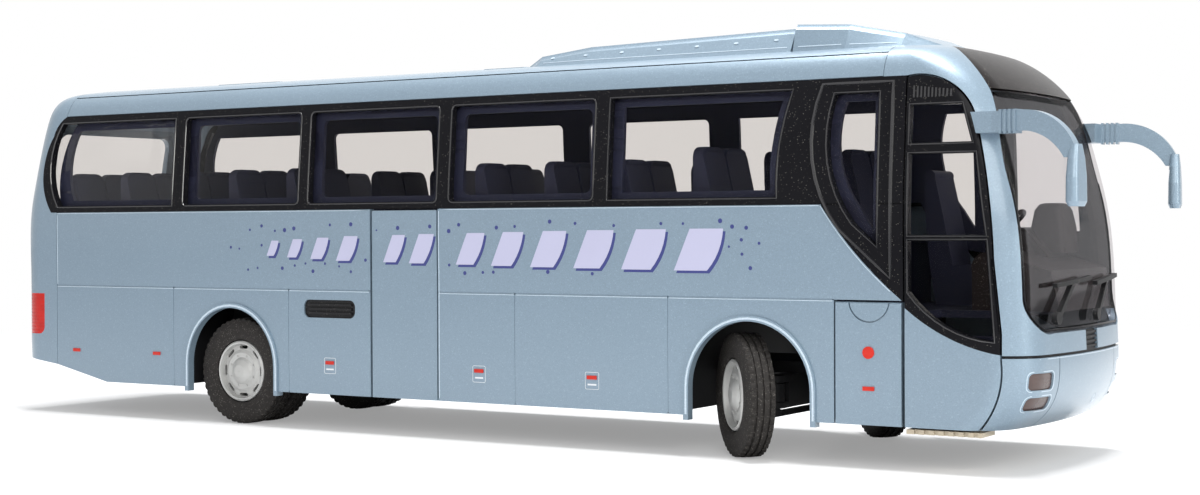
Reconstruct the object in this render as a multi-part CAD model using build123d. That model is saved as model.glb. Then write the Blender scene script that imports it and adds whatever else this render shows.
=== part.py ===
from build123d import *
from math import atan2, cos, hypot, pi, radians, sin, sqrt
import os

os.makedirs("parts", exist_ok=True)

# A die-cast touring coach, about one forty-third of its real size, in millimetres.
# +X is forward, -Y is the door side, Z is up, and the ground is z = 0 under the middle of its length.

# Body shell
HALF_WIDTH = 29.6
WALL = 1.6
SILL_Z = 8.6
TRIM_Z = 32.9
BELT_Z = 51.6
BAND_TOP_Z = 76.3
ROOF_Z = 83.0
NOSE_RADIUS = 140.0
FRONT_CORNER = 9.0
REAR_CORNER = 8.0
SEAM = 0.25
SEAM_DEPTH = 0.45
DOOR_GAP = 0.35

# Seams along the body
REAR_SEAM_X = -128.4
ROOF_FRONT_X = 102.0
DOOR_REAR_X = 106.8
MASK_BOTTOM_Z = 22.9
BUMPER_TOP_Z = 22.35

# Windows
SILL_GLASS_Z = 53.2
HEAD_GLASS_Z = 74.3
GLASS = 0.8
SCREEN_SINK = 0.3
SCREEN_BOTTOM_Z = 26.8
CAP_SEAM_Z = 73.2

# Wheels and axles
REAR_AXLE_X = -67.0
FRONT_AXLE_X = 74.0
HUB_Z = 12.8
TYRE_RADIUS = 12.8
TYRE_WIDTH = 6.0
RIM_RADIUS = 7.3
ARCH_RADIUS = 13.85
ARCH_Z = 14.35
ARCH_SHIFT = -0.75
LIP_WIDTH = 1.2
LIP_PROUD = 0.35
TWIN_OUTER_Y = 24.4
TWIN_INNER_Y = 17.6
AXLE_RADIUS = 1.2
RUNNING_FIT = 0.08

# Steering, drawn on right lock as the model stands
KINGPIN_Y = 19.2
KINGPIN_OFFSET = 6.5
KINGPIN_RADIUS = 1.0
STEER_REST = -45.0
ARM_LENGTH = 7.0

# Inside
FLOOR_Z = 30.5
FLOOR = 1.5
SEAT_PITCH = 18.6
SEAT_PAIR = 19.4
SEAT_GAP = 0.7
SEAT_TOP = 28.2
CHASSIS_Z = 9.2
CHASSIS = 1.6

# Reach of the cutting tools beyond the body
FAR = 200.0
INNER_Y = 12.0
OUTER_Y = 40.0

# Body sections from below the sill to the roof.
# Columns: height, half width, front, rear, and how far the wall leans inwards in degrees.
SECTIONS = [
    (4.0, 29.6, 119.0, -141.9, -45),
    (9.0, 29.6, 129.0, -142.6, -38),
    (14.5, 29.6, 133.4, -143.0, -14),
    (24.0, 29.6, 134.2, -143.1, 0),
    (38.0, 29.6, 133.7, -143.1, 3),
    (51.6, 29.6, 132.2, -142.8, 7),
    (60.0, 29.1, 130.2, -141.4, 13),
    (68.0, 28.4, 127.7, -139.9, 21),
    (75.0, 27.7, 123.3, -138.2, 33),
    (79.5, 26.3, 118.3, -136.7, 48),
    (81.9, 23.6, 114.2, -134.0, 65),
    (83.0, 19.0, 110.0, -128.0, 80),
]


def plan(half, nose, tail, inset):
    """Plan outline of the body: a bowed nose, round front corners and a straight tail."""
    half = half - inset
    nose = nose - inset
    tail = tail + inset
    bow = NOSE_RADIUS - inset
    front = FRONT_CORNER - min(inset, 6)
    rear = REAR_CORNER - min(inset, 3)
    corner_x = nose - bow + sqrt((bow - front) ** 2 - (half - front) ** 2)
    corner_y = half - front
    bow_x = nose - bow
    reach = hypot(corner_x - bow_x, corner_y)
    touch = (bow_x + bow * (corner_x - bow_x) / reach, bow * corner_y / reach)
    turn = (atan2(corner_y, corner_x - bow_x) + pi / 2) / 2
    mid = (corner_x + front * cos(turn), corner_y + front * sin(turn))
    cut = rear * (1 - cos(pi / 4))
    return Wire([
        Line((tail + rear, -half), (corner_x, -half)),
        ThreePointArc((corner_x, -half), (mid[0], -mid[1]), (touch[0], -touch[1])),
        ThreePointArc((touch[0], -touch[1]), (nose, 0), touch),
        ThreePointArc(touch, mid, (corner_x, half)),
        Line((corner_x, half), (tail + rear, half)),
        ThreePointArc((tail + rear, half), (tail + cut, half - cut), (tail, half - rear)),
        Line((tail, half - rear), (tail, -half + rear)),
        ThreePointArc((tail, -half + rear), (tail + cut, -half + cut), (tail + rear, -half)),
    ])


def envelope(inset):
    """The body's outer form as a solid, moved inwards along its own normal by the inset."""
    wires = []
    for height, half, nose, tail, lean in SECTIONS:
        across = inset * cos(radians(lean))
        down = inset * sin(radians(lean))
        wires.append(Pos(0, 0, height - down) * plan(half, nose, tail, across))
    return Solid.make_loft(wires)


def profile(start, *steps):
    """A closed face: each step is the end of a line, or the middle and end of an arc."""
    edges = []
    at = start
    for step in steps:
        if isinstance(step[0], tuple):
            edges.append(ThreePointArc(at, *step))
            at = step[1]
        else:
            edges.append(Line(at, step))
            at = step
    if at != start:
        edges.append(Line(at, start))
    return make_face(edges)


def rounded(x0, x1, z0, z1, radius):
    """A rectangle with round corners, by its limits."""
    return Pos((x0 + x1) / 2, (z0 + z1) / 2) * RectangleRounded(x1 - x0, z1 - z0, radius)


def rectangle(x0, x1, z0, z1):
    """A rectangle by its limits."""
    return Pos((x0 + x1) / 2, (z0 + z1) / 2) * Rectangle(x1 - x0, z1 - z0)


def block(x0, x1, y0, y1, z0, z1):
    """A box by its limits."""
    return Pos((x0 + x1) / 2, (y0 + y1) / 2, (z0 + z1) / 2) * Box(x1 - x0, y1 - y0, z1 - z0)


def door_side(face, inner=INNER_Y, outer=OUTER_Y):
    """A prism through the door side of the body, from a face drawn in X and Z."""
    return extrude(Plane.XZ.offset(inner) * face, outer - inner)


def both_sides(face):
    """A prism through the whole width, from a face drawn in X and Z."""
    return door_side(face, -OUTER_Y, OUTER_Y)


def from_front(face, back=95.0):
    """A prism through the front of the body, from a face drawn in Y and Z."""
    return extrude(Plane.YZ.offset(back) * face, FAR - back)


def from_rear(face, front=-115.0):
    """A prism through the rear of the body, from a face drawn in Y and Z."""
    return extrude(Plane.YZ.offset(-FAR) * face, FAR + front)


def other_side(shape):
    return mirror(shape, about=Plane.XZ)


def one(shape):
    """All the solids of a result as one shape."""
    solids = shape.solids()
    return solids[0] if len(solids) == 1 else Compound(solids)


def save(name, shape):
    export_step(one(shape), f"parts/{name}.step")


outer = envelope(0)
inner = envelope(WALL)
glass_inner = envelope(WALL + GLASS)
seam_floor = envelope(SEAM_DEPTH)
shell = outer - inner
lining = inner - glass_inner


def scored(face_line):
    """A shallow groove tool, from a thin prism across the shell."""
    return face_line - seam_floor


# The skirt is cut off at the sill and rises behind the rear wheels.
below = both_sides(profile((-FAR, 0), (-FAR, 14.6), (-138, 13.7), (-128.3, 12.5), (-110.3, SILL_Z),
                           (FAR, SILL_Z), (FAR, 0)))
skin = shell - below

# Outlines in side view
tail_face = profile((-FAR, 0), (REAR_SEAM_X, 0), (REAR_SEAM_X, BELT_Z), (-130.4, BELT_Z),
                    ((-133.9, 60.5), (-130.8, 71.2)), ((-129.2, 74.2), (-126.5, BAND_TOP_Z)),
                    (-124.5, 90), (-FAR, 90))
roof_face = profile((-126.5, BAND_TOP_Z), (ROOF_FRONT_X, BAND_TOP_Z), (ROOF_FRONT_X, 90), (-124.5, 90))
door_edge = [((115.6, 74.8), (121, 68)), ((123.7, 55.7), (125.1, 41)), (126.5, 27)]
bumper_edge = [(126.5, 21.8), ((125.6, 14.2), (122.1, SILL_Z)), (118.0, 0)]
mask_face = profile((ROOF_FRONT_X, BAND_TOP_Z), (DOOR_REAR_X, BAND_TOP_Z), *door_edge,
                    (126.5, MASK_BOTTOM_Z), (FAR, MASK_BOTTOM_Z), (FAR, 90), (ROOF_FRONT_X, 90))
bumper_face = profile((126.5, BUMPER_TOP_Z), *bumper_edge, (FAR, 0), (FAR, BUMPER_TOP_Z))
band_sweep = ((97.2, 41.6), (DOOR_REAR_X, 32.7))
band_face = profile((-130.4, BELT_Z), (89.3, BELT_Z), band_sweep, (DOOR_REAR_X, BAND_TOP_Z),
                    (-126.5, BAND_TOP_Z), ((-129.2, 74.2), (-130.8, 71.2)), ((-133.9, 60.5), (-130.4, BELT_Z)))
flank_face = profile((REAR_SEAM_X, 0), (DOOR_REAR_X, 0), (DOOR_REAR_X, 32.7), ((97.2, 41.6), (89.3, BELT_Z)),
                     (REAR_SEAM_X, BELT_Z))
doorway_face = profile((DOOR_REAR_X, SILL_Z - 1), (DOOR_REAR_X, BAND_TOP_Z), *door_edge, (126.5, 21.8),
                       ((125.6, 14.2), (122.1, SILL_Z)), (122.1, SILL_Z - 1))
door_paint_face = profile((DOOR_REAR_X - 1, 0), (DOOR_REAR_X - 1, 32.7), ((114.5, 26.7), (128, 22.8)), (128, 0))

# Windows in side view, from the tail to the front
windows = [
    profile((-87.5, SILL_GLASS_Z), (-87.5, HEAD_GLASS_Z), (-127.4, HEAD_GLASS_Z),
            ((-131.0, 63.5), (-127.8, SILL_GLASS_Z))),
    rounded(-83.4, -46.5, SILL_GLASS_Z, HEAD_GLASS_Z, 0.8),
    rounded(-43.0, -5.7, SILL_GLASS_Z, HEAD_GLASS_Z, 0.8),
    rounded(-1.8, 35.8, SILL_GLASS_Z, HEAD_GLASS_Z, 0.8),
    profile((39.9, SILL_GLASS_Z), (39.9, HEAD_GLASS_Z), (82.4, HEAD_GLASS_Z),
            ((79.7, 63.5), (79.4, SILL_GLASS_Z))),
    profile((101.2, 43.4), (101.2, 73.2), (92.0, 73.2), ((90.8, 60.5), (96.4, 47.8))),
]
door_windows = [
    profile((107.9, 63.2), (107.9, 70.4), (118.2, 70.4), (120.4, 63.2)),
    profile((107.9, 45.6), (107.9, 61.0), (121.2, 61.0), (123.3, 45.6)),
    profile((107.9, 34.6), (107.9, 44.4), (123.5, 44.4), (124.9, 25.6), ((114.9, 28.6), (107.9, 34.6))),
]

# Windscreen outline in front view; the black cap above it has its outline in plan.
SCREEN_HALF = 26.9
screen_face = profile((-18.6, SCREEN_BOTTOM_Z), ((-24.8, 28.6), (-SCREEN_HALF, 33.4)), (-SCREEN_HALF, 56.0),
                      ((-25.9, 65.0), (-23.5, CAP_SEAM_Z)), (23.5, CAP_SEAM_Z), ((25.9, 65.0), (SCREEN_HALF, 56.0)),
                      (SCREEN_HALF, 33.4), ((24.8, 28.6), (18.6, SCREEN_BOTTOM_Z)))
cap_plan = profile((136.0, -34.0), (122.1, -23.5), ((117.2, -21.0), (112.6, -16.8)), ((106.4, 0), (112.6, 16.8)),
                   ((117.2, 21.0), (122.1, 23.5)), (136.0, 34.0))
screen_tool = from_front(screen_face)
cap_tool = extrude(Plane.XY.offset(CAP_SEAM_Z) * cap_plan, 90 - CAP_SEAM_Z)

# Wheel arches
arches = []
lips = []
for axle_x in (REAR_AXLE_X, FRONT_AXLE_X):
    centre = axle_x + ARCH_SHIFT
    hole = profile((centre - ARCH_RADIUS, 0), (centre - ARCH_RADIUS, ARCH_Z),
                   ((centre, ARCH_Z + ARCH_RADIUS), (centre + ARCH_RADIUS, ARCH_Z)), (centre + ARCH_RADIUS, 0))
    rim_radius = ARCH_RADIUS + LIP_WIDTH
    lip = profile((centre - rim_radius, SILL_Z - 1), (centre - rim_radius, ARCH_Z),
                  ((centre, ARCH_Z + rim_radius), (centre + rim_radius, ARCH_Z)),
                  (centre + rim_radius, SILL_Z - 1))
    arches.append(hole)
    lips.append(lip)
arch_tool = door_side(arches[0]) + door_side(arches[1])
lip_ring = (door_side(lips[0], HALF_WIDTH - WALL, HALF_WIDTH + LIP_PROUD)
            + door_side(lips[1], HALF_WIDTH - WALL, HALF_WIDTH + LIP_PROUD)) - arch_tool

# Openings in the door side
HINGE_Y = HALF_WIDTH - DOOR_GAP - 0.1
HINGE_ROUND = HALF_WIDTH - HINGE_Y
MID_DOOR = (-24.5, -5.0, SILL_Z, BELT_Z)
FLAP = (92.2, DOOR_REAR_X, SILL_Z, TRIM_Z)
VENT = (-44.5, -29.0, 26.4, 30.6)
mid_door_face = rectangle(MID_DOOR[0], MID_DOOR[1], MID_DOOR[2] - 1, MID_DOOR[3])
mid_door_leaf = rectangle(MID_DOOR[0] + DOOR_GAP, MID_DOOR[1] - DOOR_GAP, MID_DOOR[2], MID_DOOR[3] - DOOR_GAP)
flap_face = rectangle(FLAP[0], FLAP[1], FLAP[2] - 1, FLAP[3])
flap_leaf = rectangle(FLAP[0] + DOOR_GAP, FLAP[1] - DOOR_GAP, FLAP[2], FLAP[3] - DOOR_GAP)
vent_face = rounded(*VENT, 1.6)
doorway = door_side(doorway_face)

# Side markers and bare label plates, let into the skin
MARKER_Y = (HALF_WIDTH - 0.5, HALF_WIDTH + 0.25)
marker_faces = []
for marker_x, marker_z in ((-121.1, 16.4), (-92.6, 16.4), (-36.6, 16.0), (6.2, 15.7), (35.8, 15.4)):
    marker_faces.append(rectangle(marker_x - 1.2, marker_x + 1.2, marker_z - 0.4, marker_z + 0.4))
markers = door_side(Sketch() + marker_faces, *MARKER_Y)
save("side_markers", markers + other_side(markers))

# Engraved lines in the flanks
lines = [rectangle(REAR_SEAM_X, FLAP[0], TRIM_Z - SEAM / 2, TRIM_Z + SEAM / 2)]
for line_x in (-86.7, -49.2, 15.9, 54.5):
    lines.append(rectangle(line_x - SEAM / 2, line_x + SEAM / 2, 0, TRIM_Z))
edges = [rectangle(REAR_SEAM_X - SEAM / 2, REAR_SEAM_X + SEAM / 2, 0, BELT_Z),
         rectangle(REAR_SEAM_X, DOOR_REAR_X, BELT_Z - SEAM / 2, BELT_Z + SEAM / 2)]
flank_lines = scored(door_side(Sketch() + lines + edges))

flank = (skin & door_side(flank_face)) + lip_ring
flank = flank - arch_tool - flank_lines - markers
vent_pocket = door_side(vent_face, HALF_WIDTH - 0.9)
side_panel = flank - door_side(mid_door_face) - door_side(flap_face) - vent_pocket
save("side_panel_right", side_panel)

# Driver's side: no doors, so the panel runs on to the front corner below the window sweep.
front_flank_face = profile((DOOR_REAR_X, 0), (DOOR_REAR_X, 32.7), ((114.5, 26.7), (126.5, 23.0)), *bumper_edge)
front_flank = (skin & door_side(front_flank_face)) - both_sides(bumper_face)
left_lines = scored(door_side(rectangle(DOOR_REAR_X - SEAM / 2, DOOR_REAR_X + SEAM / 2, 0, TRIM_Z)))
save("side_panel_left", other_side(flank + front_flank - left_lines - vent_pocket))

# Window band and its glass
band = (skin & door_side(band_face)) - scored(door_side(edges[1]))
window_tool = door_side(Sketch() + windows)
save("window_band_right", band - window_tool)
driver_band = skin & door_side(profile((DOOR_REAR_X, 32.7), (DOOR_REAR_X, BAND_TOP_Z), *door_edge,
                                       (126.5, 23.0), ((114.5, 26.7), (DOOR_REAR_X, 32.7))))
driver_windows = [
    profile((108.2, 46.0), (108.2, 70.2), (117.2, 70.2), ((120.6, 60.0), (122.4, 46.0))),
]
save("window_band_left", other_side(band + driver_band - window_tool - door_side(Sketch() + driver_windows)))

glass_face = profile((-131.6, 50.6), (87.6, 50.6), ((95.6, 41.8), (103.6, 38.6)), (103.6, 78.6), (-125.5, 78.6),
                     ((-131.8, 68), (-131.6, 50.6)))
driver_glass_face = profile((103.6, 42), (103.6, 78.6), (105, 78.6), (105, 72.0), (118.4, 72.0),
                            ((121.8, 60), (123.4, 44)), (105, 44), (105, 42))
save("side_glass_right", lining & door_side(glass_face))
save("side_glass_left", other_side(lining & door_side(Sketch() + glass_face + driver_glass_face)))

# Roof with its rounded edges, and a line along each side where the edge meets the top
CORNICE_Z = 81.2
roof_seams = [rectangle(-FAR, FAR, BAND_TOP_Z - SEAM / 2, BAND_TOP_Z + SEAM / 2),
              rectangle(-126.5, ROOF_FRONT_X, CORNICE_Z - SEAM / 2, CORNICE_Z + SEAM / 2),
              rectangle(ROOF_FRONT_X - SEAM / 2, ROOF_FRONT_X + SEAM / 2, BAND_TOP_Z, 90),
              profile((-126.5 - SEAM / 2, BAND_TOP_Z), (-126.5 + SEAM / 2, BAND_TOP_Z), (-124.4, 90),
                      (-124.6, 90))]
roof_lines = scored(both_sides(Sketch() + roof_seams))
save("roof_panel", (skin & both_sides(roof_face)) - roof_lines)

# Tail cap with the rear window, the engine lid's outline and pockets for the lamps
REAR_WINDOW = (-20.0, 20.0, 55.5, 72.5)
LAMP_Z = (20.2, 30.7)
lamp_face = profile((-FAR, LAMP_Z[0]), (-135.2, LAMP_Z[0]), ((-133.7, 20.8), (-133.1, 22.3)), (-133.1, LAMP_Z[1]),
                    (-FAR, LAMP_Z[1]))
lamp_band = both_sides(lamp_face) - block(-FAR, 0, -22.0, 22.0, 0, 90)
ENGINE_LID = (-19.0, 19.0, 17.5, 46.0)
lid_ring = rounded(*ENGINE_LID, 2.0) - rounded(ENGINE_LID[0] + SEAM, ENGINE_LID[1] - SEAM,
                                               ENGINE_LID[2] + SEAM, ENGINE_LID[3] - SEAM, 1.8)
slats = [rectangle(-14.0, 14.0, z, z + 0.9) for z in (36.0, 38.0, 40.0, 42.0)]
plate_recess = extrude(Plane.YZ.offset(-FAR) * rounded(-6.2, 6.2, 25.0, 28.4, 0.4), FAR - 142.7)
tail_lines = scored(from_rear(lid_ring) + from_rear(rectangle(-26.0, 26.0, BELT_Z - SEAM / 2, BELT_Z + SEAM / 2)))
tail = skin & both_sides(tail_face)
tail = tail - from_rear(rounded(*REAR_WINDOW, 3.0)) - lamp_band - tail_lines
tail = tail - scored(from_rear(Sketch() + slats)) - plate_recess
save("rear_cap", tail)
save("tail_lamps", skin & lamp_band)
save("rear_window", lining & from_rear(rounded(-22.0, 22.0, 53.5, 74.5, 3.0), -130.0))

# Front mask: both corner posts, the panel under the windscreen and a notch for the grille
GRILLE = (-3.5, 3.5, MASK_BOTTOM_Z, SCREEN_BOTTOM_Z)
GRILLE_SINK = 0.9
grille_floor = envelope(GRILLE_SINK)
grille_tool = from_front(rectangle(GRILLE[0], GRILLE[1], GRILLE[2] - 1, GRILLE[3] + 1)) - grille_floor
mask = (skin & both_sides(mask_face)) - screen_tool - cap_tool - grille_tool
save("front_mask", mask)

screen_layer = envelope(SCREEN_SINK) - envelope(SCREEN_SINK + 1.0)
save("windscreen", screen_layer & screen_tool)
cap_line = scored(both_sides(rectangle(ROOF_FRONT_X, FAR, CAP_SEAM_Z, CAP_SEAM_Z + SEAM)))
save("windscreen_cap", (skin & both_sides(mask_face) & cap_tool) - cap_line)

# Bumper with lamp openings, and the dark slot and grille above it
LAMPS = [(-26.2, -19.1, 16.3, 19.5), (-26.0, -18.5, 12.4, 14.9)]
lamp_tool = from_front(rounded(*LAMPS[0], 0.9)) + from_front(rounded(*LAMPS[1], 0.9))
lamp_tool = lamp_tool + other_side(lamp_tool)
BUMPER_SEAM_Y = 16.5
bumper_line = from_front(rectangle(BUMPER_SEAM_Y, BUMPER_SEAM_Y + SEAM, 8, BUMPER_TOP_Z))
bumper_lines = scored(bumper_line + other_side(bumper_line))
bumper = (skin & both_sides(bumper_face)) - lamp_tool - bumper_lines
save("front_bumper", bumper)
lamp_layer = envelope(0.35) - inner
save("front_lamps", lamp_layer & lamp_tool & both_sides(bumper_face))

slot_layer = envelope(0.6) - inner
slot = slot_layer & both_sides(rectangle(126.5, FAR, BUMPER_TOP_Z, MASK_BOTTOM_Z))
bars = [rectangle(GRILLE[0], GRILLE[1], z, z + 0.45) for z in (23.3, 24.2, 25.1, 26.0)]
grille_back = (envelope(0.6) - grille_floor) & from_front(rectangle(*GRILLE))
grille_bars = (envelope(0.2) - grille_floor) & from_front(Sketch() + bars)
save("front_grille", slot + grille_back + grille_bars)

# Entry door: a black frame with three windows, a painted foot and one glass behind
leaf_face = offset(doorway_face, -DOOR_GAP)
RELIEF = DOOR_GAP + 0.3
relief_face = profile((126.5 - RELIEF, 27), (128, 27), (128, 41), (125.1 - RELIEF, 41))
swing_relief = door_side(relief_face, HINGE_Y - 0.2)
leaf = (skin & door_side(leaf_face)) - below - swing_relief
paint = door_side(door_paint_face)
save("entry_door_frame", leaf - paint - door_side(Sketch() + door_windows))
entry_hinge = (126.5 - DOOR_GAP - HINGE_ROUND, HINGE_Y - 0.25)
hinge_barrel = Pos(entry_hinge[0], -entry_hinge[1], 19.2) * Cylinder(HINGE_ROUND, 1.6)
save("entry_door_panel", (leaf & paint) + hinge_barrel)
door_glass_face = profile((107.4, 34.0), (107.4, 71.4), (118.6, 71.4), ((121.9, 60), (124.1, 44)), (125.4, 24.6),
                          ((114.7, 27.8), (107.4, 34.0)))
save("entry_door_glass", lining & door_side(door_glass_face))

# Middle door, service flap and side vents
hinge_x = MID_DOOR[0] + DOOR_GAP + HINGE_ROUND
mid_edge = door_side(rectangle(MID_DOOR[0], hinge_x, SILL_Z - 1, MID_DOOR[3]), HINGE_Y)
mid_round = Pos(hinge_x, -HINGE_Y, (SILL_Z + MID_DOOR[3] - DOOR_GAP) / 2) * Cylinder(
    HINGE_ROUND, MID_DOOR[3] - DOOR_GAP - SILL_Z)
save("mid_door", (skin & door_side(mid_door_leaf)) - mid_edge + mid_round)
cap_ring = Pos(99.7, TRIM_Z) * (Circle(4.4) - Circle(4.1))
flap_marks = scored(door_side(cap_ring))
reflector_face = Pos(99.6, 22.7) * Circle(1.2) + rectangle(98.4, 100.8, 15.3, 16.1)
reflectors = door_side(reflector_face, *MARKER_Y)
hinge_z = FLAP[3] - DOOR_GAP - HINGE_ROUND
flap_edge = door_side(rectangle(FLAP[0], FLAP[1], hinge_z, FLAP[3]), HINGE_Y)
flap_round = Pos((FLAP[0] + FLAP[1]) / 2, -HINGE_Y, hinge_z) * Rot(0, 90, 0) * Cylinder(
    HINGE_ROUND, FLAP[1] - FLAP[0] - 2 * DOOR_GAP)
save("service_flap", (skin & door_side(flap_leaf)) - flap_edge + flap_round - flap_marks - reflectors)
save("flap_reflectors", reflectors)
vent_plate = door_side(vent_face, HALF_WIDTH - 0.9, HALF_WIDTH - 0.5)
vent_bars = [rectangle(VENT[0] + 1.2, VENT[1] - 1.2, z, z + 0.5) for z in (27.2, 28.2, 29.2)]
vent = vent_plate + door_side(Sketch() + vent_bars, HALF_WIDTH - 0.6, HALF_WIDTH - 0.1)
save("side_vents", vent + other_side(vent))

# Air conditioner on the roof, in a rear and a front casing
# Columns: place along the roof, height of the top, half width of the base, half width of the top.
REAR_CASING = [(8.3, 83.6, 14.0, 12.6), (12.5, 85.7, 15.6, 13.4), (26.0, 87.1, 17.2, 14.0), (77.0, 88.1, 18.0, 14.6)]
FRONT_CASING = [(77.4, 88.9, 18.6, 15.2), (89.0, 88.3, 18.4, 14.6), (100.0, 86.1, 16.4, 12.0),
                (107.5, 83.2, 12.6, 8.0)]


def casing(rows, foot):
    """A roof casing lofted through round-shouldered sections, down to its foot."""
    wires = []
    for place, top, base, crown in rows:
        shoulder = top - 1.1
        side = (crown + 0.55, shoulder + 0.35)
        face = profile((-base, foot), (-crown - 1.0, shoulder), ((-side[0], side[1]), (-crown, top)),
                       ((0, top + 0.1), (crown, top)), (side, (crown + 1.0, shoulder)), (base, foot))
        wires.append((Plane.YZ.offset(place) * face).wire())
    return Solid.make_loft(wires, True)


save("air_conditioner", Compound([casing(REAR_CASING, ROOF_Z),
                                  (casing(FRONT_CASING, ROOF_Z - 3) - outer).solid()]))
hatches = []
for x0, x1 in ((-93.1, -70.4), (-8.8, 5.0)):
    lid = extrude(Pos((x0 + x1) / 2, 0, ROOF_Z) * RectangleRounded(x1 - x0, 17.0, 1.6), 1.25, taper=25)
    hatches.append(lid)
save("roof_hatches", Compound([h.solid() for h in hatches]))

# Mirrors on the front posts: a ribbed arm that arcs down to a tall housing
MIRROR_ROOT = (120.6, 127.0, 64.6, 68.6)
ARM_Y = 29.3
ARM_THICK = 2.0
SPLAY = -9.0
HOUSING = (141.6, 31.7)
HOUSING_TURN = 10.0
HOUSING_ROWS = [(50.7, 2.0, 3.8), (51.6, 2.6, 5.0), (56.0, 2.5, 4.9), (59.4, 2.2, 4.0), (62.0, 1.7, 2.4)]
arm_face = profile((MIRROR_ROOT[0], MIRROR_ROOT[2]), (MIRROR_ROOT[0], MIRROR_ROOT[3]), (130.6, MIRROR_ROOT[3]),
                   ((138.6, 66.2), (142.7, 59.6)), (139.9, 59.6), ((136.5, 63.2), (130.4, MIRROR_ROOT[2] + 0.2)))
arm = extrude(Plane.XZ.offset(ARM_Y - ARM_THICK / 2) * arm_face, ARM_THICK)
for rib_x in (127.0, 128.0, 129.0, 130.0):
    rib_face = rectangle(rib_x - 0.25, rib_x + 0.25, MIRROR_ROOT[2] - 0.25, MIRROR_ROOT[3] + 0.25)
    arm = arm + extrude(Plane.XZ.offset(ARM_Y - ARM_THICK / 2 - 0.25) * rib_face, ARM_THICK + 0.5)
pivot = Pos(125.0, -ARM_Y, 0)
arm = pivot * Rot(0, 0, SPLAY) * pivot.inverse() * arm
root = block(MIRROR_ROOT[0], MIRROR_ROOT[1], -30.3, -24.0, MIRROR_ROOT[2], MIRROR_ROOT[3])
housing_place = Pos(HOUSING[0], -HOUSING[1]) * Rot(0, 0, -HOUSING_TURN)
housing = Solid.make_loft([(Pos(0, 0, z) * housing_place * RectangleRounded(thick, wide, thick * 0.45)).wire()
                           for z, thick, wide in HOUSING_ROWS], True)
mirror_slab = housing_place * Pos(-1.25, 0, 55.4) * Box(0.9, 3.4, 6.6)
bracket = (arm + root + housing) - outer - doorway
save("mirror_arm_right", bracket - mirror_slab)
save("mirror_arm_left", other_side(bracket - mirror_slab))
mirror_face = housing & (housing_place * Pos(-1.0, 0, 55.4) * Box(0.4, 3.4, 6.6))
save("mirror_glass", mirror_face + other_side(mirror_face))

# Wipers lying on the windscreen
wiper_layer = envelope(-0.7) - envelope(SCREEN_SINK)
wiper_faces = Sketch()
for hub, tip, blade in (((-17.5, 29.6), (-10.5, 36.0), 20.0), ((3.0, 29.6), (10.0, 36.0), 20.0)):
    run = atan2(tip[1] - hub[1], tip[0] - hub[0]) * 180 / pi
    middle = ((hub[0] + tip[0]) / 2, (hub[1] + tip[1]) / 2)
    wiper_faces += Pos(*middle) * Rot(0, 0, run) * Rectangle(hypot(tip[0] - hub[0], tip[1] - hub[1]), 0.9)
    wiper_faces += Pos(*hub) * Circle(1.2)
    wiper_faces += Pos(tip[0] + 1.0, tip[1] + 0.4) * Rot(0, 0, 4) * Rectangle(blade - 3, 0.8)
save("wipers", wiper_layer & from_front(wiper_faces))

# Chassis: a floor tray with walls round the wheel wells and a raised carrier for the front axle
WELL_WALL = 1.0
WELL_TOP_Z = FLOOR_Z - FLOOR
REAR_WELL = (REAR_AXLE_X - 15.5, REAR_AXLE_X + 15.5, 13.0)
FRONT_WELL = (57.0, 91.1, 11.5)
TRAY_Y = HALF_WIDTH - WALL - 0.1
CARRIER_Z = 16.6
room = envelope(WALL + 0.1)
tray = block(-138, 126, -TRAY_Y, TRAY_Y, CHASSIS_Z, CHASSIS_Z + CHASSIS) & room
tail_rise = both_sides(profile((-FAR, 0), (-FAR, 16.5), (-138, 15.5), (-128, 14.0), (-109, CHASSIS_Z),
                               (-109, 0)))
rise_plate = both_sides(profile((-138, 15.5), (-128, 14.0), (-109, CHASSIS_Z), (-109, CHASSIS_Z + CHASSIS),
                                (-128, 15.6), (-138, 17.1))) & room
tray = tray - tail_rise - block(-FAR, -109, -40, 40, 0, 20) + rise_plate
front_hole = block(FRONT_WELL[0], FRONT_WELL[1], -40, 40, 0, CARRIER_Z)
tray = tray - front_hole
for side in (-1, 1):
    y0, y1 = sorted((side * REAR_WELL[2], side * 40))
    tray = tray - block(REAR_WELL[0], REAR_WELL[1], y0, y1, 0, 20)
walls = []
for x in (FRONT_WELL[0] - WELL_WALL, FRONT_WELL[1]):
    walls.append(block(x, x + WELL_WALL, -TRAY_Y, TRAY_Y, CHASSIS_Z, WELL_TOP_Z))
for side in (-1, 1):
    y0, y1 = sorted((side * (REAR_WELL[2] - WELL_WALL), side * TRAY_Y))
    for x in (REAR_WELL[0] - WELL_WALL, REAR_WELL[1]):
        walls.append(block(x, x + WELL_WALL, y0, y1, CHASSIS_Z, WELL_TOP_Z))
    y0, y1 = sorted((side * (REAR_WELL[2] - WELL_WALL), side * REAR_WELL[2]))
    walls.append(block(REAR_WELL[0] - WELL_WALL, REAR_WELL[1] + WELL_WALL, y0, y1, CHASSIS_Z, WELL_TOP_Z))
    y0, y1 = sorted((side * 9.5, side * REAR_WELL[2]))
    bearing = both_sides(profile((REAR_AXLE_X - 3, CHASSIS_Z), (REAR_AXLE_X - 3, HUB_Z),
                                 ((REAR_AXLE_X, HUB_Z + 3), (REAR_AXLE_X + 3, HUB_Z)), (REAR_AXLE_X + 3, CHASSIS_Z)))
    walls.append(bearing & block(-FAR, FAR, y0, y1, 0, 40))
for wall in walls:
    tray = tray + (wall & room)
carrier = block(FRONT_WELL[0], FRONT_WELL[1], -FRONT_WELL[2], FRONT_WELL[2], CARRIER_Z, CARRIER_Z + 2.4)
tray = tray + carrier
axle_bore = Pos(REAR_AXLE_X, 0, HUB_Z) * Rot(90, 0, 0) * Cylinder(AXLE_RADIUS + RUNNING_FIT, 60)
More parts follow.
